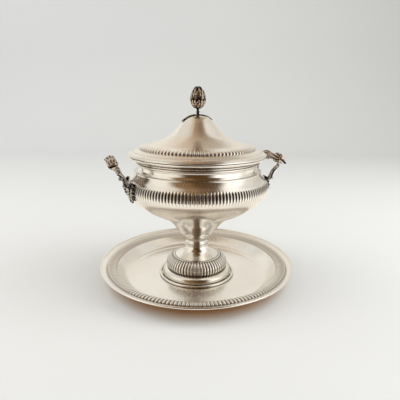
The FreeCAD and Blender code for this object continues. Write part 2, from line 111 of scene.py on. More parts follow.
def new_group(name, kind, inputs, outputs):
    """An empty node group with named sockets: gives the tree and its input and output nodes."""
    tree = bpy.data.node_groups.new(name, kind)
    for label, socket, value in inputs:
        made = tree.interface.new_socket(label, in_out="INPUT", socket_type=socket)
        if value is not None:
            made.default_value = value
    for label, socket in outputs:
        tree.interface.new_socket(label, in_out="OUTPUT", socket_type=socket)
    return tree, tree.nodes.new("NodeGroupInput"), tree.nodes.new("NodeGroupOutput")


def math_node(tree, operation, a, b=0.0, clamp=False):
    made = node(tree, "ShaderNodeMath", {0: a, 1: b}, operation=operation, use_clamp=clamp)
    return made.outputs[0]


def add(tree, a, b, clamp=False):
    return math_node(tree, "ADD", a, b, clamp)


def subtract(tree, a, b):
    return math_node(tree, "SUBTRACT", a, b)


def multiply(tree, a, b):
    return math_node(tree, "MULTIPLY", a, b)


def span(tree, value, from_low, from_high, to_low, to_high):
    """Maps a value from one range to another, smoothly and clamped."""
    made = node(tree, "ShaderNodeMapRange", {0: value, 1: from_low, 2: from_high, 3: to_low, 4: to_high},
                interpolation_type="SMOOTHSTEP")
    return made.outputs[0]


def object_place(tree):
    """The place of a shaded point in the piece's own axes."""
    return node(tree, "ShaderNodeTexCoord").outputs["Object"]


def noise(tree, place, scale, detail, roughness=0.5):
    """A cloudy value from 0 to 1 that changes from place to place."""
    made = node(tree, "ShaderNodeTexNoise",
                {"Vector": place, "Scale": scale, "Detail": detail, "Roughness": roughness})
    return made.outputs[0]


def mix_colour(tree, share, first, second, **settings):
    """Goes from the first colour to the second; share, from 0 to 1, says how far."""
    made = node(tree, "ShaderNodeMix", {0: share, 6: first, 7: second}, data_type="RGBA", **settings)
    return made.outputs[2]


print("helpers ready for shader and geometry trees")

# %% [markdown]
# ## Shader groups: what wear does to plated silver, and painted shade
#
# Three effects appear in more than one finish, so each is a node group with named inputs.
# *Tarnish and painted shade* darkens what a polishing cloth can't reach, and paints in the shade that
# falls in grooves, corners and joins: the mesh carries a `recess` value, 0 on open surfaces and 1 in
# the bottom of a groove or a shaded corner. *Lathe lines* are the faint rings that spinning
# leaves. *Rubbing* is the web of short scratches and cloudy patches from years of cleaning.
# The groups put out colours, masks and heights only, and each finish keeps its own shader.

# %% Build tarnish and painted shade, lathe lines and rubbing
def make_tarnish_and_painted_shade():
    tree, given, out = new_group(
        "tarnish_and_painted_shade", "ShaderNodeTree",
        [("Bright", "NodeSocketColor", (0.8, 0.75, 0.68, 1)),
         ("Dark", "NodeSocketColor", (0.06, 0.04, 0.025, 1)),
         ("Amount", "NodeSocketFloat", 0.8), ("Smooth", "NodeSocketFloat", 0.15),
         ("Rough", "NodeSocketFloat", 0.45), ("Bias", "NodeSocketFloat", 0.0),
         ("Speckle", "NodeSocketFloat", 0.35), ("Grain", "NodeSocketFloat", 900.0)],
        [("Color", "NodeSocketColor"), ("Roughness", "NodeSocketFloat")])
    # The recess value holds painted shade in corners, joins and grooves as well as tarnish; the mask darkens
    # both.
    recess = node(tree, "ShaderNodeAttribute", attribute_name="recess").outputs["Fac"]
    speck = noise(tree, object_place(tree), given.outputs["Grain"], 3.0)
    scatter = multiply(tree, subtract(tree, speck, 0.5), given.outputs["Speckle"])
    uneven = add(tree, add(tree, recess, given.outputs["Bias"]), scatter)
    mask = multiply(tree, span(tree, uneven, 0.18, 0.85, 0.0, 1.0), given.outputs["Amount"])
    colour = mix_colour(tree, mask, given.outputs["Bright"], given.outputs["Dark"])
    rough = node(tree, "ShaderNodeMix", {0: mask, 2: given.outputs["Smooth"], 3: given.outputs["Rough"]})
    tree.links.new(colour, out.inputs["Color"])
    tree.links.new(rough.outputs[0], out.inputs["Roughness"])
    return tree


def make_lathe_lines():
    tree, given, out = new_group(
        "lathe_lines", "ShaderNodeTree", [("Spacing", "NodeSocketFloat", 2500.0)],
        [("Line", "NodeSocketFloat")])
    place = node(tree, "ShaderNodeSeparateXYZ", {0: object_place(tree)})
    across = math_node(tree, "POWER", place.outputs[0], 2.0)
    along = math_node(tree, "POWER", place.outputs[1], 2.0)
    radius = math_node(tree, "SQRT", add(tree, across, along))
    ring = node(tree, "ShaderNodeCombineXYZ", {0: radius, 2: place.outputs[2]}).outputs[0]
    tree.links.new(noise(tree, ring, given.outputs["Spacing"], 2.0), out.inputs["Line"])
    return tree


def make_rubbing():
    tree, given, out = new_group(
        "rubbing", "ShaderNodeTree",
        [("Scratch Size", "NodeSocketFloat", 160.0), ("Patch Size", "NodeSocketFloat", 14.0)],
        [("Scratch", "NodeSocketFloat"), ("Patch", "NodeSocketFloat")])
    place = object_place(tree)
    strokes = None
    for turn, stretch in ((0.5, 9.0), (1.9, 12.0), (2.7, 7.0)):
        lie = node(tree, "ShaderNodeMapping", {0: place, 2: (0.3, 0.2, turn), 3: (stretch, 1.0, 1.0)})
        streaks = noise(tree, lie.outputs[0], given.outputs["Scratch Size"], 4.0)
        fine = span(tree, streaks, 0.60, 0.72, 0.0, 1.0)
        strokes = fine if strokes is None else math_node(tree, "MAXIMUM", strokes, fine)
    patch = noise(tree, place, given.outputs["Patch Size"], 5.0, 0.6)
    tree.links.new(strokes, out.inputs["Scratch"])
    tree.links.new(span(tree, patch, 0.35, 0.68, 0.0, 1.0), out.inputs["Patch"])
    return tree


TARNISH_AND_PAINTED_SHADE = make_tarnish_and_painted_shade()
LATHE_LINES = make_lathe_lines()
RUBBING = make_rubbing()
print("shader groups:", [g.name for g in bpy.data.node_groups])

# %% [markdown]
# ## Six finishes
#
# All the silver is the same warm plate, and what differs is how it was treated. The bowl and foot
# are polished bright. The lid is brushed, which softens what it mirrors. The tray has been rubbed
# to satin by years of use. The grips, the finial and its leaves are cast and keep black tarnish in
# their folds, with painted shade added there too. The arms and the root leaves, which a cloth
# hardly reaches, are blackened and mottled. The hidden stud and nuts are bare brass. Every finish
# darkens its recesses and shaded corners through the same group, so each one carries painted shade.

# %% Build the finishes
def plate(name, bright, dark, patch_tone, tarnish_and_painted_shade=0.97, smooth=0.16, rough=0.5, line_depth=0.05, scratch=0.12,
          patch_size=14.0, bias=0.0, speckle=0.35, grain=900.0):
    """One plated finish: metal whose colour, gloss and relief come from the three groups."""
    material = bpy.data.materials.new(name)
    material.use_nodes = True
    tree = material.node_tree
    shader = tree.nodes["Principled BSDF"]
    shader.inputs["Metallic"].default_value = 1.0
    # Tarnish and painted shade: the dark colour goes where the recess value is high.
    worn_and_shaded = node(tree, "ShaderNodeGroup", node_tree=TARNISH_AND_PAINTED_SHADE)
    settings = {"Bright": (*bright, 1), "Dark": (*dark, 1), "Amount": tarnish_and_painted_shade, "Smooth": smooth,
                "Rough": rough, "Bias": bias, "Speckle": speckle, "Grain": grain}
    for label, value in settings.items():
        worn_and_shaded.inputs[label].default_value = value
    rubbed = node(tree, "ShaderNodeGroup", node_tree=RUBBING)
    rubbed.inputs["Patch Size"].default_value = patch_size
    scratches, patches = rubbed.outputs["Scratch"], rubbed.outputs["Patch"]
    lines = node(tree, "ShaderNodeGroup", node_tree=LATHE_LINES)
    toned = mix_colour(tree, multiply(tree, patches, 0.6), worn_and_shaded.outputs["Color"], (*patch_tone, 1),
                       blend_type="MULTIPLY")
    tree.links.new(toned, shader.inputs["Base Color"])
    extra = add(tree, multiply(tree, scratches, scratch), multiply(tree, patches, 0.35 * scratch))
    gloss = add(tree, worn_and_shaded.outputs["Roughness"], extra, clamp=True)
    tree.links.new(gloss, shader.inputs["Roughness"])
    height = add(tree, lines.outputs["Line"], multiply(tree, scratches, -0.6))
    relief = node(tree, "ShaderNodeBump", {"Height": height, "Strength": line_depth, "Distance": 0.0002})
    tree.links.new(relief.outputs[0], shader.inputs["Normal"])
    return material


# Each finish's dark colour is both its tarnish and its painted shade.
POLISHED = plate("polished_silver_plate", bright=(0.90, 0.87, 0.82), dark=(0.030, 0.014, 0.008),
                 patch_tone=(0.96, 0.92, 0.86), smooth=0.16, rough=0.35, scratch=0.10)
BRUSHED = plate("brushed_silver_plate", bright=(0.90, 0.86, 0.80), dark=(0.030, 0.014, 0.008),
                patch_tone=(0.95, 0.90, 0.83), smooth=0.23, rough=0.38, scratch=0.06)
SATIN = plate("satin_silver_plate", bright=(0.91, 0.885, 0.845), dark=(0.13, 0.085, 0.050),
              patch_tone=(0.94, 0.91, 0.87), tarnish_and_painted_shade=0.95, smooth=0.19, rough=0.45, line_depth=0.035,
              patch_size=9.0)
CAST = plate("oxidised_casting", bright=(0.80, 0.68, 0.57), dark=(0.012, 0.008, 0.005),
             patch_tone=(0.66, 0.52, 0.41), tarnish_and_painted_shade=1.0, smooth=0.20, line_depth=0.10, patch_size=70.0,
             bias=0.17, speckle=1.7, grain=600.0)
BLACKENED = plate("blackened_casting", bright=(0.84, 0.80, 0.76), dark=(0.010, 0.007, 0.005),
                  patch_tone=(0.72, 0.62, 0.54), tarnish_and_painted_shade=1.0, smooth=0.20, line_depth=0.10, patch_size=70.0,
                  bias=0.24, speckle=2.2, grain=420.0)
BRASS = plate("bare_brass", bright=(0.60, 0.47, 0.26), dark=(0.10, 0.07, 0.03),
              patch_tone=(0.85, 0.75, 0.6), tarnish_and_painted_shade=0.6, smooth=0.35, line_depth=0.12, scratch=0.15,
              patch_size=40.0)
print("finishes:", [m.name for m in (POLISHED, BRUSHED, SATIN, CAST, BLACKENED, BRASS)])

# %% [markdown]
# ## Outlines for turned pieces
#
# A metal spinner works from a template of half the outline. Here an outline is a chain of runs:
# two points make a straight run, and more make one smooth curve. A cubic spline is used, because
# polished metal shows every kink, and a spline keeps its bend continuous from point to point.
# Corners between runs are eased with a tiny curve so that each edge catches a line of light.
# The same cell holds the soft steps that say where a band of reeds begins and ends.

# %% Smooth curves and eased corners
def smooth(points, count):
    """count points on the natural cubic spline through the given points."""
    p = np.array(points, float)
    if len(p) == 2:
        t = np.linspace(0, 1, count)[:, None]
        return p[0] + (p[1] - p[0]) * t
    s = np.concatenate([[0], np.cumsum(np.sqrt(np.linalg.norm(np.diff(p, axis=0), axis=1)))])
    h = np.diff(s)
    n = len(p)
    a = np.eye(n)
    b = np.zeros_like(p)
    for i in range(1, n - 1):
        a[i, i - 1:i + 2] = h[i - 1], 2 * (h[i - 1] + h[i]), h[i]
        b[i] = 6 * ((p[i + 1] - p[i]) / h[i] - (p[i] - p[i - 1]) / h[i - 1])
    bend = np.linalg.solve(a, b)
    t = np.linspace(0, s[-1], count)
    k = np.clip(np.searchsorted(s, t, side="right") - 1, 0, n - 2)
    left, right = (s[k + 1] - t)[:, None], (t - s[k])[:, None]
    width = h[k][:, None]
    curved = (bend[k] * left ** 3 + bend[k + 1] * right ** 3) / (6 * width)
    from_left = (p[k] / width - bend[k] * width / 6) * left
    from_right = (p[k + 1] / width - bend[k + 1] * width / 6) * right
    return curved + from_left + from_right


def outline(*runs, ease=0.25):
    """Joins runs, each (points, count), easing the corner where two runs meet at an angle."""
    chains = [smooth(points, count) for points, count in runs]
    line = [chains[0][0]]
    for i, chain in enumerate(chains):
        line.extend(chain[1:-1])
        end = chain[-1]
        if i == len(chains) - 1:
            line.append(end)
            continue
        before, after = end - chain[-2], chains[i + 1][1] - end
        room = min(ease, 0.4 * np.linalg.norm(before), 0.4 * np.linalg.norm(after))
        before, after = before / np.linalg.norm(before), after / np.linalg.norm(after)
        if before @ after > 0.985:
            line.append(end)
            continue
        start, stop = end - before * room, end + after * room
        line += [end - before * room * 2.2, start, (start + 2 * end + stop) / 4, stop]
        line.append(end + after * room * 2.2)
    return np.array(line)


def line_normals(line):
    """Unit normals to the right of travel along an outline."""
    ahead = np.gradient(line, axis=0)
    ahead /= np.maximum(np.linalg.norm(ahead, axis=1), 1e-9)[:, None]
    return np.stack([ahead[:, 1], -ahead[:, 0]], axis=1)


def walled(outer, thickness, keep=2):
    """Closes an outline into a sheet wall: out along it, and back along its inner side."""
    inner = (outer - line_normals(outer) * thickness)[::-1]
    thinned = np.concatenate([inner[:1], inner[keep:-keep:keep], inner[-1:]])
    if outer[0][0] < 1e-6 or outer[-1][0] < 1e-6:
        return np.concatenate([outer, thinned])
    return np.concatenate([outer, thinned, outer[:1]])


def eased_step(value, start, stop):
    """0 before start and 1 after stop, with a soft rise between."""
    t = min(max((value - start) / (stop - start), 0.0), 1.0)
    return t * t * (3 - 2 * t)


def between(value, low_start, low_stop, high_start, high_stop):
    """1 in the middle of a band, with a soft rise into it and a soft fall out of it."""
    return eased_step(value, low_start, low_stop) * (1 - eased_step(value, high_start, high_stop))


def bell(value, middle, spread):
    """1 at the middle, and softly down to nothing a few spreads away: the dark line in a corner."""
    return math.exp(-((value - middle) / spread) ** 2)


def rounded_ends(value, low_end, low_reach, high_end, high_reach):
    """How far a place is into the rounded head at either end of a reed, from 0 to 1."""
    return min(1.0, max(0.0, (low_end - value) / low_reach, (value - high_end) / high_reach))


def ring_line(radius, height, section, count=20, flat=None):
    """A round wire seen in section, as a closed outline; flat cuts it off at a height."""
    turn = np.linspace(0, math.tau, count + 1)
    line = np.stack([radius + section * np.cos(turn), height + section * np.sin(turn)], axis=1)
    if flat is not None:
        line[:, 1] = np.maximum(line[:, 1], flat)
    return line


print("outline tools ready; a test curve has", len(smooth([(0, 0), (1, 2), (3, 3)], 9)), "points")

# %% [markdown]
# ## The spinner's lathe, as Geometry Nodes
#
# Every round piece follows one rule: turn the outline about the axis, and where it is reeded, lift
# the wall into a half-round reed between each pair of grooves. A node tree is the natural way to
# write that down. A grid has one row for each outline point and one column for each step round the
# axis; each grid point looks up its outline point, is lifted by the reed, and is swung round.
# A reed's end is a quarter of a ball, given by the `head` value on the outline, and `wrap` turns
# straight reeds into twisted ones. The depth left over between the reeds, with the painted shade
# that `shade` adds in corners, becomes `recess`, which the tarnish and painted shade group reads.

# %% Build the lathe tree
def weld_and_smooth(tree, shape):
    """Closes the seam where a shape meets itself and makes it shade smoothly."""
    closed = node(tree, "GeometryNodeMergeByDistance", {"Geometry": shape.outputs[0], "Distance": 2e-6})
    return node(tree, "GeometryNodeSetShadeSmooth", {"Geometry": closed.outputs[0]})


def finish_tree(tree, given, out, shape):
    """Ends a tree the same way every time: real geometry that wears the given finish."""
    real = node(tree, "GeometryNodeRealizeInstances", {"Geometry": shape.outputs[0]})
    dressed = node(tree, "GeometryNodeSetMaterial",
                   {"Geometry": real.outputs[0], "Material": given.outputs["Finish"]})
    tree.links.new(dressed.outputs[0], out.inputs[0])


def make_lathe():
    tree, given, out = new_group(
        "spinning_lathe", "GeometryNodeTree",
        [("Outline", "NodeSocketGeometry", None), ("Rows", "NodeSocketInt", 10),
         ("Steps", "NodeSocketInt", 96), ("Reeds", "NodeSocketInt", 12),
         ("Reed Height", "NodeSocketFloat", 0.001),
         ("Groove Narrowness", "NodeSocketFloat", 0.6), ("Finish", "NodeSocketMaterial", None)],
        [("Geometry", "NodeSocketGeometry")])
    columns = add(tree, given.outputs["Steps"], 1)
    grid = node(tree, "GeometryNodeMeshGrid", {"Vertices X": given.outputs["Rows"], "Vertices Y": columns})
    index = node(tree, "GeometryNodeInputIndex").outputs[0]
    row = math_node(tree, "FLOOR", math_node(tree, "DIVIDE", add(tree, index, 0.5), columns))
    column = subtract(tree, index, multiply(tree, row, columns))
    turn = math_node(tree, "DIVIDE", column, given.outputs["Steps"])

    def looked_up(name, kind="FLOAT"):
        field = node(tree, "GeometryNodeInputNamedAttribute", {"Name": name}, data_type=kind).outputs[0]
        found = node(tree, "GeometryNodeSampleIndex", data_type=kind)
        tree.links.new(given.outputs["Outline"], found.inputs[0])
        tree.links.new(field, found.inputs[1])
        tree.links.new(row, found.inputs["Index"])
        return found.outputs[0]

    place = looked_up("position", "FLOAT_VECTOR")
    outward = looked_up("outward", "FLOAT_VECTOR")
    reed = looked_up("reed")
    head = looked_up("head")
    wrap = looked_up("wrap")
    shade = looked_up("shade")

    phase = add(tree, multiply(tree, turn, given.outputs["Reeds"]), wrap)
    across = subtract(tree, multiply(tree, math_node(tree, "FRACT", phase), 2.0), 1.0)
    fallen = add(tree, multiply(tree, across, across), multiply(tree, head, head))
    crown = math_node(tree, "SQRT", math_node(tree, "MAXIMUM", subtract(tree, 1.0, fallen), 0.0))
    lift = multiply(tree, multiply(tree, given.outputs["Reed Height"], reed),
                     subtract(tree, crown, 0.5))
    moved = node(tree, "ShaderNodeVectorMath", {0: outward, "Scale": lift}, operation="SCALE").outputs[0]
    raised = node(tree, "ShaderNodeSeparateXYZ",
                  {0: node(tree, "ShaderNodeVectorMath", {0: place, 1: moved}, operation="ADD").outputs[0]})
    angle = multiply(tree, turn, math.tau)
    spot = node(tree, "ShaderNodeCombineXYZ", {
        0: multiply(tree, raised.outputs[0], math_node(tree, "COSINE", angle)),
        1: multiply(tree, raised.outputs[0], math_node(tree, "SINE", angle)),
        2: raised.outputs[2]}).outputs[0]
    sunk = math_node(tree, "POWER", subtract(tree, 1.0, crown), given.outputs["Groove Narrowness"])
    # recess: the grooves between the reeds plus the outline's painted shade.
    depth = add(tree, shade, multiply(tree, reed, sunk), clamp=True)
    kept = node(tree, "GeometryNodeStoreNamedAttribute",
                {"Geometry": grid.outputs[0], "Name": "recess", "Value": depth},
                data_type="FLOAT", domain="POINT")
    shaped = node(tree, "GeometryNodeSetPosition", {"Geometry": kept.outputs[0], "Position": spot})
    finish_tree(tree, given, out, weld_and_smooth(tree, shaped))
    return tree


LATHE = make_lathe()
print("lathe tree:", len(LATHE.nodes), "nodes")

# %% [markdown]
# ## Running a tree and seating a piece
#
# A tree is a recipe; the piece that goes on the tureen is the mesh it leaves behind. So each tree
# is run on a small worker, the result is kept as a plain mesh, and the worker is thrown away. The
# mesh has to be closed and the right way out, like the metal it stands for, and the count of open
# edges is printed so that a hole shows at once.

# %% Turn an outline into a piece
def run_tree(name, mesh, tree, values):
    """Runs a node tree on a mesh and returns a plain object that holds the result."""
    worker = bpy.data.objects.new(name + "_worker", mesh)
    bpy.context.scene.collection.objects.link(worker)
    modifier = worker.modifiers.new("tree", "NODES")
    modifier.node_group = tree
    sockets = {s.name: s.identifier for s in tree.interface.items_tree if s.in_out == "INPUT"}
    for label, value in values.items():
        modifier[sockets[label]] = value
    done = bpy.data.meshes.new_from_object(worker.evaluated_get(bpy.context.evaluated_depsgraph_get()))
    bpy.data.objects.remove(worker)
    done.name = name
    done.materials.clear()
    done.materials.append(values["Finish"])
    done.polygons.foreach_set("material_index", [0] * len(done.polygons))
    piece = bpy.data.objects.new(name, done)
    bpy.context.scene.collection.objects.link(piece)
    return piece


def closed_piece(piece):
    """Turns a mesh the right way out, says whether it is closed, and hands it back."""
    work = bmesh.new()
    work.from_mesh(piece.data)
    bmesh.ops.dissolve_degenerate(work, dist=1e-7, edges=work.edges)
    if work.calc_volume(signed=True) < 0:
        bmesh.ops.reverse_faces(work, faces=work.faces)
    work.to_mesh(piece.data)
    open_edges = sum(1 for e in work.edges if len(e.link_faces) != 2)
    work.free()
    print(piece.name, "faces", len(piece.data.polygons), "open edges", open_edges)
    return piece


def carry(mesh, values):
    """Stores one number at each point of a mesh, under each given name."""
    for key, column in values.items():
        mesh.attributes.new(key, "FLOAT", "POINT").data.foreach_set("value", column)


def turned(name, line, finish, steps=240, reeds=1, height=0.0, band=None, wrap=None, shade=None, narrow=0.6):
    """Turns an outline, in mm, about the axis.

    band(i, r, z) gives how much reed there is at a point of the outline, and how far into its head.
    wrap(r, z) twists the reeds, and shade(i, r, z) paints shade into a corner that has no reeds.
    """
    count = len(line)
    mesh = bpy.data.meshes.new(name + "_outline")
    mesh.from_pydata([(r * MM, 0, z * MM) for r, z in line], [(i, i + 1) for i in range(count - 1)], [])
    amounts = [band(i, r, z) if band else (0.0, 0.0) for i, (r, z) in enumerate(line)]
    carry(mesh, {
        "reed": [amount for amount, head in amounts],
        "head": [head for amount, head in amounts],
        "wrap": [wrap(r, z) if wrap else 0.0 for r, z in line],
        "shade": [shade(i, r, z) if shade else 0.0 for i, (r, z) in enumerate(line)]})
    outward = np.zeros((count, 3), np.float32)
    outward[:, (0, 2)] = line_normals(line)
    mesh.attributes.new("outward", "FLOAT_VECTOR", "POINT").data.foreach_set("vector", outward.ravel())
    return closed_piece(run_tree(name, mesh, LATHE, {
        "Rows": count, "Steps": steps, "Reeds": reeds, "Reed Height": height * MM,
        "Groove Narrowness": narrow, "Finish": finish}))


def seat(piece, body, slot, *nodes):
    """Puts a finished piece on its body, in place of the construction solids it shows."""
    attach(piece, body)
    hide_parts(*nodes)


print("ready to turn pieces on the lathe tree")

# %% [markdown]
# ## The tray
#
# The tray is a flat-bottomed dish with a broad border. A band of fine reeds runs round the border,
# stamped from behind in a real tray. On the lathe tree that is one outline and 168 reeds. The
# rolled wire at the edge is a separate ring, as it is on the real tray, where it is soldered on.

# %% Turn the tray and its edge wire
BAND_INNER_R, BAND_OUTER_R = 125.6, 143.2
TRAY_FLOOR_R = 105


def tray_band(i, r, z):
    if i > tray_face:
        return 0.0, 0.0
    amount = between(r, BAND_INNER_R + 0.4, BAND_INNER_R + 2.0, BAND_OUTER_R - 0.8, BAND_OUTER_R - 0.2)
    return amount, rounded_ends(r, BAND_INNER_R + 3.4, 2.4, BAND_OUTER_R - 2.8, 2.2)


# Darkens the whole reeded band a little, which widens the painted shade and tarnish in its grooves.
def tray_shade(i, r, z):
    return 0.12 if i <= tray_face and BAND_INNER_R + 0.4 < r < BAND_OUTER_R - 0.2 else 0.0


tray_top = outline(
    ([(TRAY_R - TRAY_WIRE, 23.1), (147.8, 22.0), (144.8, 21.0), (BAND_OUTER_R, 20.0)], 14),
    ([(BAND_OUTER_R, 20.0), (141.8, 21.2), (138.6, 22.1), (134.0, 21.5), (129.6, 19.6),
      (BAND_INNER_R, 17.0)], 40),
    ([(BAND_INNER_R, 17.0), (119.6, 9.7), (112.9, 3.7), (108.4, 1.95), (TRAY_FLOOR_R, SHEET)], 18),
    ([(TRAY_FLOOR_R, SHEET), (50, SHEET)], 4), ([(50, SHEET), (0, SHEET)], 4))
tray_face = len(tray_top) - 1
tray_line = walled(tray_top, SHEET, keep=4)
tray_line[:, 1] = np.maximum(tray_line[:, 1], 0.0)
tray = turned("tray_dish_reeded", tray_line, SATIN, steps=TRAY_REEDS * 5, reeds=TRAY_REEDS, height=1.1,
              band=tray_band, shade=tray_shade, narrow=1.2)
seat(tray, "tray", "tray_plate", "tray_dish")
tray_wire = turned("tray_edge_wire", ring_line(TRAY_R - TRAY_WIRE, TRAY_TOP - TRAY_WIRE, TRAY_WIRE), SATIN)
seat(tray_wire, "tray", "tray_plate", "tray_rim_wire")

# %% [markdown]
# ## The foot, the stem and its collars
#
# The foot is spun in one piece: a rolled wire to stand on, a small ogee, a fat knop of gadroons,
# and a trumpet that rises to the stem. Gadroons are broad reeds, so they get more height and
# fewer of them. Three turned rings stack above it, and the collars are plain beads.

# %% Turn the foot and stem
KNOP_LOW, KNOP_HIGH = 13.3, 33.3
TRUMPET_R, TRUMPET_TOP_R = 34.6, 18.6


def foot_band(i, r, z):
    if i > foot_face or r < 30:
        return 0.0, 0.0
    amount = between(z, KNOP_LOW - 0.1, KNOP_LOW + 1.1, KNOP_HIGH - 0.3, KNOP_HIGH + 0.3)
    return amount, rounded_ends(z, KNOP_LOW + 2.9, 2.6, KNOP_HIGH - 2.9, 3.0)


# Painted shade and painted reflection: the inside of the foot and thin lines under and over the knop are
# darkened, and the ogee and the knop are darkened all round to stand in for the dark room they mirror at the
# front.
def foot_shade(i, r, z):
    if i > foot_face:
        return 0.2
    ogee = 0.25 * between(z, 5.2, 7.5, KNOP_LOW - 1.3, KNOP_LOW + 0.3)
    knop = 0.16 * between(z, KNOP_LOW + 0.3, KNOP_LOW + 1.7, KNOP_HIGH - 2.3, KNOP_HIGH - 0.3)
    under_knop = 0.6 * bell(z, KNOP_LOW, 0.5)
    over_knop = 0.9 * bell(r, TRUMPET_R + 0.3, 0.6)
    return max(ogee, knop, under_knop, over_knop)


foot_outer = outline(
    ([(55.6, 4.9), (55.0, 8.0), (52.9, 10.9), (49.6, 12.7), (46, KNOP_LOW)], 20),
    ([(46, KNOP_LOW), (47.9, 19.3), (46.3, 25.7), (38.1, KNOP_HIGH)], 40),
    ([(38.1, KNOP_HIGH), (TRUMPET_R, KNOP_HIGH + 0.2)], 4),
    ([(TRUMPET_R, KNOP_HIGH + 0.2), (28.4, 36.9), (21.3, 42.5), (TRUMPET_TOP_R, COLLAR_Z)], 20),
    ([(TRUMPET_TOP_R, COLLAR_Z), (3.2, COLLAR_Z)], 4), ease=0.3)
foot_face = len(foot_outer) - 1
foot = turned("foot_gadrooned", walled(foot_outer, SHEET, keep=4), POLISHED, steps=FOOT_GADROONS * 12,
              reeds=FOOT_GADROONS, height=1.3, band=foot_band, shade=foot_shade, narrow=0.9)
seat(foot, "tureen", "polished_plate", "foot_shell")
# Painted contact shadow: the bottom of the foot wire, where it stands on the tray, is darkened.
foot_wire = turned("foot_edge_wire", ring_line(FOOT_R - FOOT_WIRE, 3.0, FOOT_WIRE, flat=FLOOR_Z), POLISHED,
                   shade=lambda i, r, z: 0.95 * (1 - eased_step(z, 1.6, 2.9)))
seat(foot_wire, "tureen", "polished_plate", "foot_rim_wire")


def bead(base, top, ends, belly, bore=3.4):
    """A turned ring with a rounded side and flat faces."""
    middle = (base + top) / 2
    return outline(([(bore, base), (ends, base)], 3), ([(ends, base), (belly, middle), (ends, top)], 12),
                   ([(ends, top), (bore, top)], 3), ([(bore, top), (bore, base)], 3), ease=0.2)


# Painted shade: a dark line at each joint between the stacked rings.
def collar_shade(i, r, z):
    return 0.7 * max(bell(z, SPOOL_Z, 0.5), bell(z, UPPER_COLLAR_Z, 0.5))


for name, base, top, ends, belly, stood_for in (
        ("lower_collar_bead", COLLAR_Z, SPOOL_Z, 18.0, 19.6, "stem_collar_lower"),
        ("spool_waist", SPOOL_Z, UPPER_COLLAR_Z, 18.2, 15.4, "stem_spool"),
        ("upper_collar_bead", UPPER_COLLAR_Z, BOWL_Z, 18.0, 19.6, "stem_collar_upper")):
    ring = turned(name, bead(base, top, ends, belly), POLISHED, steps=160, shade=collar_shade)
    seat(ring, "tureen", "polished_plate", stood_for)

# %% [markdown]
# ## The bowl
#
# The bowl flares from the stem, swells to its belly and comes in to a small ledge under the neck.
# The belly's reeds have crisp round heads at the shoulder and fade away underneath, which a reed
# amount that falls smoothly to zero reproduces. The heavy moulding round the mouth is a ring
# that a silversmith drew as a strip, bent and soldered on.

# %% Turn the bowl and its mouth moulding
REEDS_FADE_Z, REEDS_FULL_Z, REEDS_TOP_Z = 132.0, 152.0, 158.4
LEDGE_R, LEDGE_Z = 95.9, 171.2
MOULDING_Z, COVE_Z = 178.7, 184.7
LID_SEAT_R = 100.6


def bowl_band(i, r, z):
    if i > bowl_face or r < 95:
        return 0.0, 0.0
    amount = between(z, REEDS_FADE_Z, REEDS_FULL_Z, REEDS_TOP_Z - 0.5, REEDS_TOP_Z)
    return amount, min(1.0, max(0.0, (z - REEDS_TOP_Z + 3.0) / 2.4))


# Painted shade: the inside of the bowl, the ledge corner, the neck under the moulding and the joint with the
# upper collar are darkened, and under_heads makes the reed gaps just under their heads darker.
def bowl_shade(i, r, z):
    if i > bowl_face:
        return 0.25
    ledge = 0.5 * bell(z, LEDGE_Z - 0.1, 0.2)
    neck = 0.6 * bell(z, MOULDING_Z - 0.5, 0.7)
    under_heads = 0.34 * between(z, 144.0, REEDS_FULL_Z - 1.0, REEDS_TOP_Z - 3.9, REEDS_TOP_Z - 1.9)
    stem_joint = 0.5 * bell(z, BOWL_Z, 0.8)
    return max(ledge, neck, under_heads, stem_joint)


# Painted shade: dark lines where the moulding meets the neck, in the corners of its cove, and where the lid
# sits on it.
def moulding_shade(i, r, z):
    neck_joint = bell(z, MOULDING_Z + 0.3, 0.6)
    under_cove = bell(z, COVE_Z - 0.1, 0.7)
    over_cove = 0.6 * bell(z, COVE_Z + 4.7, 0.5)
    lid_seat = eased_step(r, LID_SEAT_R + 0.1, LID_SEAT_R + 0.8) * bell(z, RIM_Z, 0.7)
    return 0.95 * max(neck_joint, under_cove, over_cove, lid_seat)


FUNNEL = [(21, BOWL_Z), (27.7, 71.9), (31.9, 78.1), (41.8, 90.2), (56.3, 100.5)]
BELLY = [(71.3, 108.0), (89.3, 119.2), (102.7, 132.7), (BELLY_R, BELLY_Z), (104.5, 157.6), (99.7, 163.5),
         (LEDGE_R, 169.8)]
bowl_outer = outline(
    ([(0, BOWL_Z), (21, BOWL_Z)], 4), (FUNNEL + BELLY, 55),
    ([(LEDGE_R, 169.8), (LEDGE_R, LEDGE_Z)], 3), ([(LEDGE_R, LEDGE_Z), (90.7, LEDGE_Z)], 3),
    ([(90.7, LEDGE_Z), (NECK_R, 174.6)], 4), ([(NECK_R, 174.6), (NECK_R, RIM_Z)], 4), ease=0.3)
bowl_face = len(bowl_outer) - 1
bowl = turned("bowl_reeded", walled(bowl_outer, SHEET, keep=5), POLISHED, steps=BOWL_REEDS * 6,
              reeds=BOWL_REEDS, height=1.35, band=bowl_band, shade=bowl_shade)
seat(bowl, "tureen", "polished_plate", "bowl_shell")

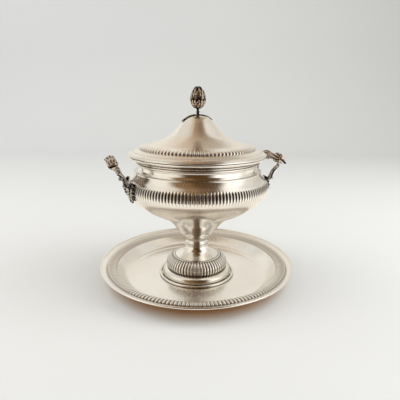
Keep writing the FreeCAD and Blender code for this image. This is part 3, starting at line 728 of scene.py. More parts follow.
moulding_line = outline(
    ([(NECK_R, MOULDING_Z), (91, 179.4)], 3), ([(91, 179.4), (91.5, 181.1), (93, 182.2)], 6),
    ([(93, 182.2), (93.4, 182.9), (93, 183.6)], 5), ([(93, 183.6), (92.2, COVE_Z)], 3),
    ([(92.2, COVE_Z), (94.3, 187.2), (99.2, 189.3), (101.8, 191.2), (102.4, 192.9)], 16),
    ([(102.4, 192.9), (101.6, RIM_Z)], 3), ([(101.6, RIM_Z), (LID_SEAT_R, RIM_Z)], 3),
    ([(LID_SEAT_R, RIM_Z), (NECK_R, RIM_Z)], 4), ([(NECK_R, RIM_Z), (NECK_R, MOULDING_Z)], 3), ease=0.3)
moulding = turned("mouth_moulding", moulding_line, POLISHED, steps=300, shade=moulding_shade)
seat(moulding, "tureen", "polished_plate", "bowl_rim_moulding")

# %% [markdown]
# ## The lid
#
# A wire edge, a plain skirt, a step with a narrow band of short flutes, and a smooth dome that
# runs up into a rounded crown. Under the step a plain ring, the bezel, hangs inside the
# mouth of the bowl and keeps the lid from sliding off.

# %% Turn the lid, its wire and its bezel
STEP_R, STEP_Z = 95.3, 199.9
FLUTES_R, FLUTES_LOW, FLUTES_HIGH = 87, 203.3, 208.1


def lid_band(i, r, z):
    if i > lid_face or r > FLUTES_R + 1:
        return 0.0, 0.0
    amount = between(z, FLUTES_LOW, FLUTES_LOW + 0.5, FLUTES_HIGH + 0.2, FLUTES_HIGH + 1.3)
    thinned = 1 - 0.75 * eased_step(z, FLUTES_LOW + 2.1, FLUTES_HIGH - 0.1)
    return amount * thinned, rounded_ends(z, FLUTES_LOW + 1.1, 1.6, FLUTES_HIGH + 0.1, 1.2)


# Painted shade: the underside of the lid, a faint dark line at the feet of the flutes, and dark lines at the
# step and along the hem.
def lid_shade(i, r, z):
    if i > lid_face:
        return 0.25
    flute_feet = 0.16 * between(z, FLUTES_LOW - 0.1, FLUTES_LOW + 0.2, FLUTES_LOW + 0.9, FLUTES_LOW + 2.3)
    step = 0.5 * bell(z, STEP_Z, 0.3)
    hem = 0.8 * bell(z, 196.7, 0.35)
    return max(flute_feet, step, hem)


lid_outer = outline(
    ([(LID_R - LID_WIRE, 196.6), (98.9, 198.8), (STEP_R, STEP_Z)], 12),
    ([(STEP_R, STEP_Z), (FLUTES_R, FLUTES_LOW)], 6),
    ([(FLUTES_R, FLUTES_LOW), (86.2, 205.4), (84.4, 206.7), (82, 207.6), (79.5, FLUTES_HIGH)], 26),
    ([(79.5, FLUTES_HIGH), (70, 209.6), (60, 213.1), (50.7, 217.2), (41, 222.9), (33.4, 230), (27.1, 237.3),
      (19.9, 245.1), (13.4, 249.4), (2.1, LID_TOP)], 48), ease=0.3)
lid_face = len(lid_outer) - 1
lid = turned("lid_dome", walled(lid_outer, LID_SHEET, keep=4), BRUSHED, steps=LID_FLUTES * 8,
             reeds=LID_FLUTES, height=1.5, band=lid_band, shade=lid_shade)
seat(lid, "lid", "polished_plate", "lid_shell")
lid_wire_line = ring_line(LID_R - LID_WIRE, 195.0, LID_WIRE, flat=low("lid_rim_wire").z)
# Painted shade: the bottom of the lid wire, where it rests on the bowl, is darkened.
lid_wire = turned("lid_edge_wire", lid_wire_line, POLISHED, shade=lambda i, r, z: 0.95 * bell(z, RIM_Z, 0.7))
seat(lid_wire, "lid", "polished_plate", "lid_rim_wire")
BEZEL_LOW, BEZEL_HIGH, BEZEL_R = low("lid_bezel").z, high("lid_bezel").z, high("lid_bezel").x
BEZEL_BORE = BEZEL_R - LID_SHEET
bezel_line = outline(([(BEZEL_BORE, BEZEL_LOW), (BEZEL_R, BEZEL_LOW)], 3),
                     ([(BEZEL_R, BEZEL_LOW), (BEZEL_R, BEZEL_HIGH)], 4),
                     ([(BEZEL_R, BEZEL_HIGH), (BEZEL_BORE, BEZEL_HIGH)], 3),
                     ([(BEZEL_BORE, BEZEL_HIGH), (BEZEL_BORE, BEZEL_LOW)], 4))
bezel = turned("lid_bezel_ring", bezel_line, POLISHED, steps=200)
seat(bezel, "lid", "polished_plate", "lid_bezel")

# %% [markdown]
# ## Cast leaves
#
# The ornament is cast from a carved pattern. Every leaf here is one sheet: a midrib, veins that
# slant to the tip, and a lobed edge. What differs is what the sheet lies on, so the function
# takes a rule that turns a place on the leaf into a point and an outward direction. Recesses
# beside the midrib and between the veins are noted for the tarnish and painted shade, and the
# leaf's edges and underside get painted shade.

# %% Shape leaves over any surface
def leaf(name, place, half_width, finish, rows=36, columns=16, lobes=5, arch=1.6, sheet=0.9, curl=0.0,
         curl_from=0.8, lobe_depth=0.22, vein=0.5, blunt=0.55, dark=0.8, rimmed=0.35, flare=0.0):
    """A closed leaf.

    place(v, across) gives a point and the direction away from what the leaf lies on, with v from 0
    at the root to 1 at the tip and across in mm from the midrib.
    """
    front, back, shade = [], [], []
    for i in range(rows + 1):
        v = i / rows
        swell = math.sin(math.pi * min(1.0, 0.04 + 0.96 * v) ** blunt) ** 0.7
        notch = 1 - lobe_depth * abs(math.sin(math.pi * lobes * v)) ** 0.5 * (1 - 0.4 * v)
        width = half_width * max(0.06, swell) * (notch + lobe_depth * 0.5)
        for j in range(columns + 1):
            u = 2 * j / columns - 1
            slant = (lobes * 2 * v - 2.2 * abs(u)) % 1.0
            groove = bell(slant, 0.5, 0.16) * min(1.0, 3 * abs(u)) * (1 - 0.3 * abs(u))
            rib = bell(u, 0.0, 0.13)
            beside = bell(abs(u), 0.24, 0.09)
            lift = arch * (1 - u * u) * min(1.0, 6 * v + 0.2) * min(1.0, 5 * (1 - v) + 0.35)
            lift += 0.55 * vein * rib + vein * (0.35 - groove) - 0.35 * vein * beside
            beyond = max(0.0, (v - curl_from) / (1 - curl_from))
            raised = curl * beyond * beyond + flare * abs(u) ** 3 * abs(math.sin(math.pi * lobes * v)) ** 0.7
            point, away = place(v, u * width)
            front.append(point + away * (sheet + lift + raised))
            back.append(point + away * (0.35 * max(0.0, lift) + raised - 0.1))
            # Painted shade: near_edge darkens the edges, the root and the tip; grooves and the hollow beside
            # the midrib hold tarnish with painted shade.
            near_edge = max(abs(u) ** 3, (1 - v) ** 3, max(0.0, v - 0.8) * 3)
            shade.append(min(1.0, dark * max(groove, 0.8 * beside) + rimmed * near_edge))
    across = columns + 1
    count = len(front)
    faces = []
    for i in range(rows):
        for j in range(columns):
            a = i * across + j
            faces.append((a, a + 1, a + 1 + across, a + across))
            faces.append((a + count, a + across + count, a + 1 + across + count, a + 1 + count))
    border = list(range(across))
    border += [i * across + columns for i in range(1, rows + 1)]
    border += [rows * across + j for j in range(columns - 1, -1, -1)]
    border += [i * across for i in range(rows - 1, 0, -1)]
    for a, b in zip(border, border[1:] + border[:1]):
        faces.append((b, a, a + count, b + count))
    mesh = bpy.data.meshes.new(name)
    mesh.from_pydata([tuple(Vector(p) * MM) for p in front + back], [], faces)
    # The underside of every leaf is painted dark as painted shade.
    carry(mesh, {"recess": shade + [0.9] * count})
    mesh.materials.append(finish)
    mesh.polygons.foreach_set("use_smooth", [True] * len(faces))
    piece = bpy.data.objects.new(name, mesh)
    bpy.context.scene.collection.objects.link(piece)
    return closed_piece(piece)


def joined(name, pieces):
    """Makes one mesh from several, so that a casting rides as one piece."""
    work = bmesh.new()
    for piece in pieces:
        work.from_mesh(piece.data)
    first = pieces[0]
    work.to_mesh(first.data)
    work.free()
    first.name = first.data.name = name
    for piece in pieces[1:]:
        bpy.data.objects.remove(piece)
    return first


print("ready to shape leaves")

# %% [markdown]
# ## Cast rods
#
# The arms and curls of the handles are rods that follow a line and swell and shrink on the way. A
# small Geometry Nodes tree sweeps a circle along a line of points, sized by a `thickness` value at
# each point, so one rule serves every rod in the casting.

# %% Build the rod tree
def make_rod_tree():
    tree, given, out = new_group(
        "cast_rod", "GeometryNodeTree",
        [("Line", "NodeSocketGeometry", None), ("Sides", "NodeSocketInt", 16),
         ("Finish", "NodeSocketMaterial", None)],
        [("Geometry", "NodeSocketGeometry")])
    thick = node(tree, "GeometryNodeInputNamedAttribute", {"Name": "thickness"}, data_type="FLOAT").outputs[0]
    curve = node(tree, "GeometryNodeMeshToCurve", {"Mesh": given.outputs["Line"]})
    circle = node(tree, "GeometryNodeCurvePrimitiveCircle",
                  {"Resolution": given.outputs["Sides"], "Radius": 1.0})
    sized = node(tree, "GeometryNodeSetCurveRadius", {"Curve": curve.outputs[0], "Radius": 1.0})
    swept = node(tree, "GeometryNodeCurveToMesh", {
        "Curve": sized.outputs[0], "Profile Curve": circle.outputs[0], "Scale": thick, "Fill Caps": True})
    finish_tree(tree, given, out, weld_and_smooth(tree, swept))
    return tree


ROD = make_rod_tree()


def rod(name, points, thickness, finish, count=60, sides=16, knots=()):
    """A cast rod through points, in mm.

    thickness lists (share of the length, radius) and knots lists (share, extra radius, spread).
    """
    line = smooth(points, count)
    share = np.linspace(0, 1, count)
    radius = np.interp(share, *zip(*thickness))
    # The rod is darkened a little all along, with painted shade and tarnish in the grooves beside each knot.
    recess = np.full(count, 0.12)
    for at, extra, spread in knots:
        radius += extra * np.exp(-((share - at) / spread) ** 2)
        for side in (-1, 1):
            beside = at + side * 2.0 * spread
            recess += 0.9 * np.exp(-((share - beside) / (0.6 * spread)) ** 2)
    mesh = bpy.data.meshes.new(name + "_line")
    mesh.from_pydata([tuple(p * MM) for p in line], [], [])
    mesh.edges.add(count - 1)
    mesh.edges.foreach_set("vertices", [k for i in range(count - 1) for k in (i, i + 1)])
    carry(mesh, {"thickness": radius * MM, "recess": np.minimum(recess, 1.0)})
    return closed_piece(run_tree(name, mesh, ROD, {"Sides": sides, "Finish": finish}))


def square_pair(heading, leaning):
    """Two unit directions at right angles: heading, and the part of leaning that is square to it."""
    heading, leaning = np.array(heading, float), np.array(leaning, float)
    heading /= np.linalg.norm(heading)
    leaning -= heading * (leaning @ heading)
    return heading, leaning / np.linalg.norm(leaning)


def curl_points(start, heading, outward, size, turns=1.2, count=12):
    """A tightening curl that leaves start along heading and rolls towards outward."""
    start = np.array(start, float)
    heading, outward = square_pair(heading, outward)
    centre = start + outward * size
    points = []
    for k in range(count):
        t = k / (count - 1)
        r, a = size * (1 - 0.72 * t), math.tau * turns * t
        points.append(centre - outward * r * math.cos(a) + heading * r * math.sin(a))
    return points


print("rod tree:", len(ROD.nodes), "nodes")

# %% [markdown]
# ## The grips
#
# Each handle is cast in parts and soldered up: a baluster grip with two lobes and a ribbed waist,
# two arms that spring from acanthus leaves on the belly, a small curl at each knee, and a leaf at
# each end of the grip. The grip's outline is drawn first, as half of it and its mirror, with the
# ribs of the waist as a row of small waves. It is turned on the lathe tree like any round piece.

# %% Draw the grip
GRIP_LOW, GRIP_HIGH = low("handle_right_grip"), high("handle_right_grip")
GRIP_MIDDLE = (GRIP_LOW + GRIP_HIGH) / 2
GRIP_HALF = (GRIP_HIGH.y - GRIP_LOW.y) / 2
RIB_PITCH = 3.6


def grip_outline():
    half = [(0.02, -GRIP_HALF), (2.6, -GRIP_HALF + 0.3), (4.4, -31.6), (4.5, -30.6), (3.7, -29.6),
            (4.6, -26.5), (6.3, -19.5), (6.3, -15.5), (5.3, -10.5), (4.7, -8.2), (5.2, -7.4)]
    waist = [(4.4 + 0.9 * abs(math.cos(math.pi * y / RIB_PITCH)) ** 0.6, y)
             for y in np.linspace(-2 * RIB_PITCH, 2 * RIB_PITCH, 45)]
    other = [(r, -y) for r, y in half[::-1]]
    return outline((half, 56), (waist, 56), (other, 56), ease=0.1)


def grip_band(i, r, y):
    return between(abs(y), 8.6, 11.0, 28.4, 29.6), 0.0


# Painted shade with tarnish: dark between the ribs of the waist and in the grooves at the lobe ends.
def grip_shade(i, r, y):
    if abs(y) < 7.4:
        return 0.95 * (1 - abs(math.cos(math.pi * y / RIB_PITCH))) ** 1.2
    return 0.9 * max(bell(abs(y), 8.2, 0.6), bell(abs(y), 29.7, 0.6))


print("grip:", round(2 * GRIP_HALF, 1), "mm long, at", round(GRIP_MIDDLE.x, 1), "mm from the axis")

# %% [markdown]
# ## What the cast leaves lie on
#
# A leaf can climb the belly, leave the end of the grip freely, or wrap the outside of an arm. Each
# of these is a rule that turns a place on the leaf into a point in space and the direction that
# faces away from the support, so the same leaf can be laid on any of them.

# %% Lay leaves on the belly, in the air and on the arms
BELLY_CURVE = smooth(BELLY, 200)
ARM_PATH = [(102.9, 24.0, 148.8), (107.6, 24.2, 152.6), (111.3, 24.8, 158.8), (113.0, 25.6, 164.4),
            (115.1, 27.0, 169.6), (119.4, 28.8, 174.8), (126.6, 30.4, 181.2)]
ARM_POINTS = 81


def on_curve(curve, z):
    """The radius of a curve at a height, and the direction it runs there."""
    k = min(max(int(np.searchsorted(curve[:, 1], z)), 1), len(curve) - 2)
    return np.interp(z, curve[:, 1], curve[:, 0]), curve[k + 1] - curve[k - 1]


def on_belly(side, y_middle, z_start, z_stop):
    """A rule that lays a leaf on the belly: v goes from one height to the other, across goes round."""
    def place(v, across):
        z = z_start + (z_stop - z_start) * v
        radius, run = on_curve(BELLY_CURVE, z)
        y = y_middle + across
        x = math.sqrt(radius ** 2 - y ** 2)
        slope = np.array([run[1] * x / radius, run[1] * y / radius, -run[0]])
        slope /= np.linalg.norm(slope)
        return np.array([side * x, y, z]), np.array([side * slope[0], slope[1], slope[2]])
    return place


def along(start, heading, up, length, droop):
    """A rule for a free leaf that leaves start along heading and bends towards -up as it goes."""
    start = np.array(start, float)
    heading, up = square_pair(heading, up)
    sideways = np.cross(heading, up)

    def place(v, across):
        turn = droop * v
        spine = start + heading * length * v * math.cos(turn / 2) - up * length * v * math.sin(turn / 2)
        return spine + sideways * across, up * math.cos(turn) + heading * math.sin(turn)
    return place


def along_arm(side, end, start, stop):
    """A rule that wraps a leaf over the outer side of an arm, from one share of its length to another."""
    path = smooth(ARM_PATH, ARM_POINTS)
    last = ARM_POINTS - 1

    def place(v, across):
        k = start + (stop - start) * v
        at = np.array([np.interp(k, np.linspace(0, 1, ARM_POINTS), path[:, c]) for c in range(3)])
        ahead = path[min(last, int(k * last) + 1)] - path[max(0, int(k * last) - 1)]
        ahead /= np.linalg.norm(ahead)
        out = np.array([ahead[2], 0.0, -ahead[0]])
        out /= np.linalg.norm(out)
        away = out * math.cos(across * 0.28) + np.array([0, 1, 0]) * math.sin(across * 0.28)
        point = at + out * (1.9 - 0.05 * across ** 2) + np.array([0, across, 0])
        return point * (side, end, 1), away * (side, end, 1)
    return place


print("arm path:", len(ARM_PATH), "points, rising", round(ARM_PATH[-1][2] - ARM_PATH[0][2], 1), "mm")

# %% [markdown]
# ## The handles
#
# The left handle is the right one seen in a mirror, but for the tilt of its end leaves, so one
# function makes both and another makes the arms. The grip is turned upright and then laid down.
# Each arm is a rod with three knots, a leaf wrapped round its outside, and a curl at its knee and
# at its top, joined into one piece as the casting is.

# %% Cast both handles
def make_arm(word, side, place_word, end):
    """One arm with the leaf and the curls that are cast on it."""
    label = f"{word}_{place_word}"

    def at(x, y, z):
        return side * x, end * y, z

    arm = rod(f"{label}_arm_rod", [at(*p) for p in ARM_PATH],
              [(0, 2.8), (0.25, 2.5), (0.6, 2.0), (0.85, 2.3), (1, 2.6)], BLACKENED, count=90,
              knots=((0.20, 0.9, 0.020), (0.27, 0.7, 0.016), (0.90, 1.5, 0.020)))
    wrap = leaf(f"{label}_arm_leaf", along_arm(side, end, 0.26, 0.86), 4.4, BLACKENED, rows=48, columns=10,
                arch=0.9, sheet=0.5, curl=1.2, curl_from=0.85, blunt=0.6, dark=1.0, rimmed=0.7)
    knee_path = curl_points(at(111.6, 24.9, 158.0), at(0.5, 0.05, 0.8), at(1, 0.2, -0.4), 2.6, turns=1.15)
    knee = rod(f"{label}_knee_curl", knee_path, [(0, 1.6), (0.5, 1.4), (0.9, 1.5), (1, 0.5)], BLACKENED,
               count=50, sides=12)
    top_path = curl_points(at(125.6, 31.0, 179.6), at(-0.7, 0.1, -0.7), at(-0.6, 0.1, 0.8), 3.0, turns=1.25)
    top_curl = rod(f"{label}_top_curl", top_path, [(0, 1.8), (0.5, 1.7), (0.9, 1.8), (1, 0.6)], CAST,
                   count=50, sides=12)
    seat(joined(f"{label}_arm_casting", [arm, wrap, knee, top_curl]), "tureen", "cast_ornament",
         f"handle_{word}_arm_{place_word}")


def make_handle(word, side, leaf_rise):
    """One handle; side is 1 for the right and -1 for the left, leaf_rise tips the leaves of the grip."""
    grip = turned(f"{word}_grip", grip_outline(), CAST, steps=108, reeds=9, height=2.7, band=grip_band,
                  wrap=lambda r, y: 0.04 * abs(y), shade=grip_shade, narrow=0.45)
    laid_down = Matrix.Rotation(-math.pi / 2, 4, "X")
    grip.data.transform(Matrix.Translation((side * GRIP_MIDDLE.x * MM, 0, GRIP_MIDDLE.z * MM)) @ laid_down)
    seat(grip, "tureen", "cast_ornament", f"handle_{word}_grip")
    for place_word, end in (("front", -1), ("back", 1)):
        make_arm(word, side, place_word, end)
        root = leaf(f"{word}_{place_word}_acanthus", on_belly(side, end * 24, 158.8, 133.4), 12.6, BLACKENED,
                    rows=72, columns=32, lobes=6, arch=3.0, curl=1.4, curl_from=0.75, vein=1.5, blunt=0.8,
                    dark=1.0, lobe_depth=0.42, flare=2.8)
        seat(root, "tureen", "cast_ornament", f"handle_{word}_root_leaf_{place_word}")
        heading = (side * math.cos(0.9), end * math.sin(0.9) * 0.55, leaf_rise)
        free = along((side * 125.0, end * 29.0, 186.6), heading, (side * 0.2, end * 0.2, 1), 11.0, 0.7)
        tip = leaf(f"{word}_{place_word}_grip_leaf", free, 3.9, CAST, rows=26, columns=12, lobes=3, arch=1.5,
                   sheet=1.3, curl=1.0, curl_from=0.7, vein=0.7, dark=1.0, rimmed=0.8)
        seat(tip, "tureen", "cast_ornament", f"handle_{word}_corner_leaf_{place_word}")


make_handle("right", 1, -0.42)
make_handle("left", -1, 0.02)

# %% [markdown]
# ## The finial
#
# A knotted stem carries a bud, and two leaves lie over the crown of the lid. The bud's scales and
# petals stand in rings, so one petal is shaped on the side of the bud and a Geometry Nodes tree
# turns copies of it about the axis, as a chaser works round with one punch.

# %% Build the ring tree
def make_ring_tree():
    tree, given, out = new_group(
        "ring_of_copies", "GeometryNodeTree",
        [("Shape", "NodeSocketGeometry", None), ("Count", "NodeSocketInt", 8),
         ("Start", "NodeSocketFloat", 0.0), ("Finish", "NodeSocketMaterial", None)],
        [("Geometry", "NodeSocketGeometry")])
    points = node(tree, "GeometryNodePoints", {"Count": given.outputs["Count"]})
    index = node(tree, "GeometryNodeInputIndex").outputs[0]
    share = math_node(tree, "DIVIDE", add(tree, index, given.outputs["Start"]), given.outputs["Count"])
    turn = multiply(tree, share, math.tau)
    facing = node(tree, "ShaderNodeCombineXYZ", {2: turn}).outputs[0]
    copies = node(tree, "GeometryNodeInstanceOnPoints",
                  {"Points": points.outputs[0], "Instance": given.outputs["Shape"], "Rotation": facing})
    finish_tree(tree, given, out, copies)
    return tree


RING = make_ring_tree()


def ring_of(name, shape, count, start, finish):
    """Copies of one shape round the axis; start turns the ring by that share of a copy."""
    mesh = shape.data
    bpy.data.objects.remove(shape)
    return run_tree(name, mesh, RING, {"Count": count, "Start": start, "Finish": finish})


print("ring tree:", len(RING.nodes), "nodes")

# %% [markdown]
# ## The bud
#
# A bud is a solid core with everything else laid on it. Three rings of small scales cover the
# lower third, and two rings of long petals close over the top. The core is painted nearly black as
# painted shade, because it is only seen in the shaded gap between two petals, and the edges of the
# scales and petals get painted shade too. A petal's curled tip could stand a little too
# high, so the finished bud is kept under the top of the construction solid.

# %% Shape the bud
BUD_CURVE = smooth([(2.4, BUD_Z), (7.4, 264.2), (10.0, 268.6), (10.4, 272.9), (9.7, 278.5), (8.0, 284.0),
                    (5.1, 289.0), (2.6, 291.3), (0.02, 292.0)], 60)
core_line = outline(([(0.0, BUD_Z), (2.4, BUD_Z)], 3), (BUD_CURVE[::3], 34))
# Painted shade: the core is coloured almost black all over.
bud_core = turned("bud_core", core_line, CAST, steps=72, shade=lambda i, r, z: 0.95)


def on_bud(z_low, z_high):
    """A rule that lays a scale or a petal on the side of the bud."""
    def place(v, across):
        z = z_low + (z_high - z_low) * v
        radius, run = on_curve(BUD_CURVE, z)
        radius = max(0.3, radius)
        angle = across / max(radius, 1.6)
        slope = np.array([run[1], -run[0]]) / np.linalg.norm(run)
        c, s = math.cos(angle), math.sin(angle)
        return np.array([radius * c, radius * s, z]), np.array([slope[0] * c, slope[0] * s, slope[1]])
    return place


SCALE_RINGS = ((261.4, 266.4, 10, 2.4), (264.0, 269.8, 13, 2.5), (267.2, 273.6, 14, 2.5))
PETAL_RINGS = ((271.0, 291.6, 3.9, 0.1), (270.4, 286.5, 3.6, 0.45))
bud_parts = [bud_core]
# rimmed=1.0 paints shade along the edges of every scale and petal.
for row, (z_low, z_high, count, half) in enumerate(SCALE_RINGS):
    scale = leaf(f"scale_{row}", on_bud(z_low, z_high), half, CAST, rows=7, columns=6, lobes=1, arch=0.7,
                 sheet=0.15, curl=0.35, curl_from=0.4, lobe_depth=0.0, vein=0.0, blunt=0.9, dark=0.0,
                 rimmed=1.0)
    bud_parts.append(ring_of(f"bud_scale_ring_{row}", scale, count, 0.5 * (row % 2), CAST))
for row, (z_low, z_high, half, lift) in enumerate(PETAL_RINGS):
    petal = leaf(f"petal_{row}", on_bud(z_low, z_high), half, CAST, rows=12, columns=6, lobes=1, arch=0.75,
                 sheet=lift, curl=0.5, curl_from=0.7, lobe_depth=0.0, vein=0.25, blunt=0.62, dark=0.7,
                 rimmed=1.0)
    bud_parts.append(ring_of(f"bud_petal_ring_{row}", petal, 7, 0.5 * row + 0.2, CAST))
bud = joined("finial_bud_petals", bud_parts)
top = max(v.co.z for v in bud.data.vertices)
for v in bud.data.vertices:
    v.co.z = min(v.co.z, BUD_TOP * MM)
seat(bud, "lid", "cast_ornament", "finial_bud")
print("bud top", round(top / MM, 2), "mm, kept under", round(BUD_TOP, 2))

# %% [markdown]
# ## The stem of the finial and the leaves on the crown
#
# The stem is turned with small knots above a round foot. It goes down through the crown to a nut
# inside the lid. Two leaves start at its foot, one towards each handle, and lie along the dome, so
# their rule follows the dome's own outline.

# %% Turn the stem and drape the crown leaves
STEM_LOW, STEM_R = low("finial_stem").z, 1.9
stem_line = outline(
    ([(0.0, STEM_LOW), (STEM_R, STEM_LOW)], 3), ([(STEM_R, STEM_LOW), (STEM_R, 251.5)], 4),
    ([(STEM_R, 251.5), (4.0, 251.5)], 3),
    ([(4.0, 251.5), (4.3, 252.3), (3.8, 253.1)], 6), ([(3.8, 253.1), (2.2, 253.7), (1.7, 255.0)], 6),
    ([(1.7, 255.0), (2.9, 255.9), (2.9, 256.4), (1.7, 257.3)], 8),
    ([(1.7, 257.3), (1.6, 258.4), (2.4, 259.4), (2.3, 260.0), (1.7, 260.6)], 9),
    ([(1.7, 260.6), (2.4, BUD_Z)], 3), ([(2.4, BUD_Z), (0.0, BUD_Z)], 3), ease=0.12)
# Painted shade: the thin shank and the waists between the knots are dark; the rest is darkened half as much.
stem = turned("finial_stem_knotted", stem_line, CAST, steps=48,
              shade=lambda i, r, z: 0.9 if r < 2.0 else 0.45)
seat(stem, "lid", "cast_ornament", "finial_stem")


DOME_CURVE = smooth([(2.1, 251.6), (13.4, 249.4), (19.9, 245.1), (27.1, 237.3), (33.4, 230.0),
                     (41.0, 222.9)], 80)


def over_crown(side):
    """A rule that drapes a leaf over the lid's crown."""
    def height(radius):
        return np.interp(radius, DOME_CURVE[:, 0], DOME_CURVE[:, 1])

    length = 18.0 if side > 0 else 20.0

    def place(v, across):
        at = 3.6 + length * v
        radius = math.hypot(at, across)
        slope = height(radius + 0.5) - height(radius - 0.5)
        away = np.array([-slope * side * at / radius, -slope * across / radius, 1.0])
        return np.array([side * at, across, height(radius) + 0.15]), away / np.linalg.norm(away)
    return place


for word, side in (("left", -1), ("right", 1)):
    crown_leaf = leaf(f"crown_leaf_{word}", over_crown(side), 4.6, CAST, columns=14, lobes=4, arch=0.5,
                      sheet=0.6, curl=0.9, curl_from=0.6, blunt=0.7, rimmed=0.8, dark=0.9)
    seat(crown_leaf, "lid", "cast_ornament", f"finial_leaf_{word}")

# %% [markdown]
# ## Hidden hardware
#
# The stud, washers and nuts hold the tureen together out of sight. Their construction solids are
# already right, so they stay as they are and only take a brass finish.

# %% Dress the hardware
for name in ("stem_stud", "stem_washer", "stem_nut", "finial_washer", "finial_nut"):
    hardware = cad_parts[name]
    hardware.data.materials.clear()
    hardware.data.materials.append(BRASS)
    print(name, "left as built, in brass")

# %% [markdown]
# ## The table and the backdrop
#
# Polished silver shows its surroundings more than itself, so the room is part of the look. It
# begins with one pale sheet that runs back over the table and sweeps up behind, as in a product
# studio. Seen in the metal it is warmer and a little brighter than seen directly, and its upper
# part glows faintly there. Close under the tray a painted shadow, brown like the tray's own
# shadow, is coloured onto the sheet.

# %% Lay the table and the backdrop
TOWARDS = math.radians(18.5)
ahead = Vector((math.sin(TOWARDS), math.cos(TOWARDS), 0))
aside = Vector((math.cos(TOWARDS), -math.sin(TOWARDS), 0))
FLOOR_SEEN, FLOOR_MIRRORED, FLOOR_PAINTED_SHADOW = (0.755, 0.77, 0.78), (0.90, 0.88, 0.84), (0.46, 0.25, 0.11)


def at(forward, right, up):
    """A place on the stage, seen from the camera: forward past the object, to the right, and up."""
    return ahead * forward + aside * right + Vector((0, 0, up))


def floor_material():
    material = bpy.data.materials.new("pale_floor")
    material.use_nodes = True
    tree = material.node_tree
    shader = tree.nodes["Principled BSDF"]
    shader.inputs["Roughness"].default_value = 0.9
    shader.inputs["Emission Color"].default_value = (*FLOOR_MIRRORED, 1)
    seen = node(tree, "ShaderNodeLightPath").outputs["Is Glossy Ray"]
    pale = mix_colour(tree, seen, (*FLOOR_SEEN, 1), (*FLOOR_MIRRORED, 1))
    distance = node(tree, "ShaderNodeVectorMath", {0: object_place(tree)}, operation="LENGTH")
    # Painted shadow: the sheet is coloured brown close under the tray.
    painted_tray_shadow = span(tree, distance.outputs["Value"], 0.118, 0.150, 1.0, 0.0)
    warmed = mix_colour(tree, painted_tray_shadow, pale, (*FLOOR_PAINTED_SHADOW, 1))
    tree.links.new(warmed, shader.inputs["Base Color"])
    height = node(tree, "ShaderNodeSeparateXYZ", {0: object_place(tree)}).outputs[2]
    # Painted reflection: the upper backdrop glows faintly, only where the metal mirrors it.
    glow = multiply(tree, seen, span(tree, height, 0.2, 1.0, 0.0, 0.12))
    tree.links.new(glow, shader.inputs["Emission Strength"])
    return material


def staged(name, spots, columns, material):
    """A sheet through rows of spots, kept apart from the object as part of the stage."""
    mesh = bpy.data.meshes.new(name)
    faces = [(a, a + 1, a + 1 + columns, a + columns)
             for row in range(len(spots) // columns - 1)
             for a in range(row * columns, (row + 1) * columns - 1)]
    mesh.from_pydata(spots, [], faces)
    mesh.materials.append(material)
    made = bpy.data.objects.new(name, mesh)
    bpy.context.scene.collection.objects.link(made)
    return made


sweep = [(-1.6, 0.0), (1.4, 0.0)]
sweep += [(1.4 + 0.6 * math.sin(a), 0.6 - 0.6 * math.cos(a)) for a in np.linspace(0.1, math.pi / 2, 14)]
sweep += [(2.0, 3.0)]
sheet_spots = [at(forward, right, up) for forward, up in sweep for right in (-4.0, 4.0)]
floor = staged("floor_and_backdrop", sheet_spots, 2, floor_material())
floor.data.polygons.foreach_set("use_smooth", [True] * len(floor.data.polygons))
print("backdrop:", len(floor.data.polygons), "strips")

# %% [markdown]
# ## Soft lamps
#
# Four large soft panels stand at the sides and above, a little stronger on the right, and a fifth
# washes the left of the backdrop. The metal doesn't mirror them: what it mirrors is made by the
# screen below, so that light and reflection can be set apart.

# %% Hang the lamps
def panel(name, middle, target, width, height, colour, power):
    light = bpy.data.lights.new(name, "AREA")
    light.shape = "RECTANGLE"
    light.size, light.size_y, light.energy, light.color = width, height, power, colour
    made = bpy.data.objects.new(name, light)
    made.location = middle
    made.visible_glossy = False
    made.rotation_euler = (target - middle).to_track_quat("-Z", "Y").to_euler()
    bpy.context.scene.collection.objects.link(made)
    print(name, power, "W")


CENTRE = Vector((0, 0, 0.14))
panel("left_panel", at(-0.30, -1.2, 0.7), CENTRE, 0.9, 1.3, (1.0, 0.94, 0.85), 4.5)
panel("right_panel", at(-0.25, 1.2, 0.75), CENTRE, 0.9, 1.2, (1.0, 0.99, 0.97), 7.5)
panel("upper_left_panel", at(0.2, -1.15, 1.5), CENTRE, 0.8, 1.3, (1.0, 0.98, 0.95), 5.5)
panel("upper_right_panel", at(0.2, 1.15, 1.5), CENTRE, 0.8, 1.3, (1.0, 0.99, 0.98), 6.0)
panel("backdrop_panel", at(0.9, -1.9, 1.5), at(2.0, -1.1, 0.7), 0.8, 1.2, (0.94, 0.98, 1.0), 5.6)

# %% [markdown]
# ## The screen that the metal mirrors
#
# A brown, unlit part of the room behind the camera gives the deep column down the middle of every
# round form, and bright windows at either side give the pale shapes next to it. One screen curves
# round the front and over the top, and its tone is worked out from two angles: the rise above the
# table and the swing to the right. Only mirrored light sees it.

# %% Paint and place the screen
SCREEN_TONES = [(-14, (0.090, 0.045, 0.014)), (0, (0.080, 0.038, 0.012)), (30, (0.085, 0.044, 0.016)),
                (50, (0.11, 0.062, 0.026)), (68, (0.20, 0.130, 0.080)), (90, (0.30, 0.22, 0.15)),
                (120, (0.46, 0.38, 0.30)), (140, (0.58, 0.53, 0.46))]
WINDOW_RIGHT, WINDOW_LEFT = (1.30, 1.28, 1.22), (0.98, 0.93, 0.84)
ROOM, LEFT_GLOW = (0.80, 0.78, 0.73), (0.13, 0.075, 0.035)
HALF_WIDTH = ((-14, 0, 20, 35, 60, 85), (26, 32, 44, 50, 47, 44))
EYE_HEIGHT = 0.14


def blend(first, second, share):
    return [a + (b - a) * share for a, b in zip(first, second)]


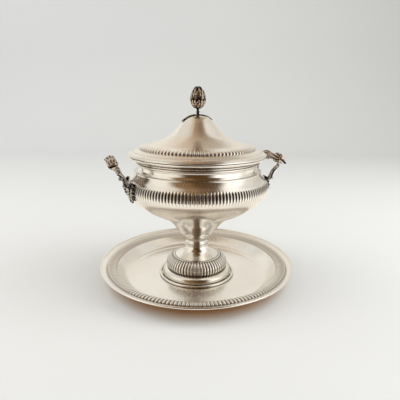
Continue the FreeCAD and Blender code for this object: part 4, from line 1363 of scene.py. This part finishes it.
def screen_tone(rise, swing):
    """The screen's tone: dark in front, a bright window at each side, and paler overhead."""
    ladder = [step for step, tone in SCREEN_TONES]
    dark = [np.interp(rise, ladder, [tone[c] for step, tone in SCREEN_TONES]) for c in range(3)]
    window = WINDOW_RIGHT if swing > 0 else WINDOW_LEFT
    swing -= 14 * eased_step(rise, 45, 65)
    half = np.interp(rise, *HALF_WIDTH)
    glow = eased_step(-swing, 2, 14) * eased_step(rise, 2, 12)
    dark = [tone + warm * glow for tone, warm in zip(dark, LEFT_GLOW)]
    bright = eased_step(abs(swing), half - 9, half + 9) * (1 - 0.42 * eased_step(rise, 38, 74))
    return blend(blend(dark, window, bright), ROOM, eased_step(abs(swing), 78, 98))


def screen_spot(rise, swing):
    """Where that tone is: a metre away, or on the table where the rise is well below level."""
    e, a = math.radians(rise), math.radians(swing)
    flat = EYE_HEIGHT / math.tan(-e) if rise < -8 else math.cos(e)
    forward = -math.cos(a) * flat if rise < 90 else -flat
    return at(forward, math.sin(a) * max(flat, 0.45), max(0.004, EYE_HEIGHT + math.sin(e)))


def screen_material():
    material = bpy.data.materials.new("glowing_screen")
    material.use_nodes = True
    tree = material.node_tree
    shader = tree.nodes["Principled BSDF"]
    shader.inputs["Base Color"].default_value = (0, 0, 0, 1)
    shader.inputs["Specular IOR Level"].default_value = 0.0
    shader.inputs["Emission Strength"].default_value = 1.0
    tone = node(tree, "ShaderNodeAttribute", attribute_name="tone").outputs["Color"]
    tree.links.new(tone, shader.inputs["Emission Color"])
    return material


rises = [-24, -20, -17, -14, -11] + list(np.linspace(-8, 140, 45))
swings = np.linspace(-100, 100, 61)
spots = [screen_spot(rise, swing) for rise in rises for swing in swings]
tones = [(*screen_tone(rise, swing), 1.0) for rise in rises for swing in swings]
screen = staged("dark_screen", spots, len(swings), screen_material())
screen.data.attributes.new("tone", "FLOAT_COLOR", "POINT").data.foreach_set("color", np.array(tones).ravel())
screen.visible_camera = screen.visible_shadow = screen.visible_diffuse = False
print("screen:", len(tones), "toned spots")

# %% [markdown]
# ## Sky and camera
#
# Behind the sheet and the screen there is only an even pale sky, a little brighter where the metal
# mirrors it. The camera stands a bit over half a metre off, nearly as high as the bud, and looks
# down on the tray, so that the lid's edge and the tray read as ovals.

# %% Set the sky and the camera
SKY_LIGHT, SKY_MIRRORED, SKY_SEEN = (0.73, 0.71, 0.67), (0.89, 0.87, 0.82), (0.72, 0.75, 0.76)
CAMERA_BACK, CAMERA_RIGHT, CAMERA_UP = 0.556, 0.00452, 0.2704
CAMERA_DIP, CAMERA_ROLL = 14.93, 0.58

scene = bpy.context.scene
scene.world = bpy.data.worlds.new("soft_room")
scene.world.use_nodes = True
tree = scene.world.node_tree
background = tree.nodes["Background"]
rays = node(tree, "ShaderNodeLightPath").outputs
unseen = mix_colour(tree, rays["Is Glossy Ray"], (*SKY_LIGHT, 1), (*SKY_MIRRORED, 1))
sky = mix_colour(tree, rays["Is Camera Ray"], unseen, (*SKY_SEEN, 1))
tree.links.new(sky, background.inputs["Color"])
background.inputs["Strength"].default_value = 0.9

camera_data = bpy.data.cameras.new("camera")
camera_data.lens, camera_data.sensor_width = 33.1, 36
camera = bpy.data.objects.new("camera", camera_data)
camera.location = at(-CAMERA_BACK, CAMERA_RIGHT, CAMERA_UP)
facing = Matrix.Rotation(-TOWARDS, 4, "Z")
dipped = Matrix.Rotation(math.radians(90 - CAMERA_DIP), 4, "X")
rolled = Matrix.Rotation(math.radians(CAMERA_ROLL), 4, "Z")
camera.rotation_euler = (facing @ dipped @ rolled).to_euler()
scene.collection.objects.link(camera)
scene.camera = camera
scene.view_settings.view_transform = "Standard"
print("camera", CAMERA_BACK, "m back,", CAMERA_UP, "m up, lens", round(camera_data.lens, 1), "mm")
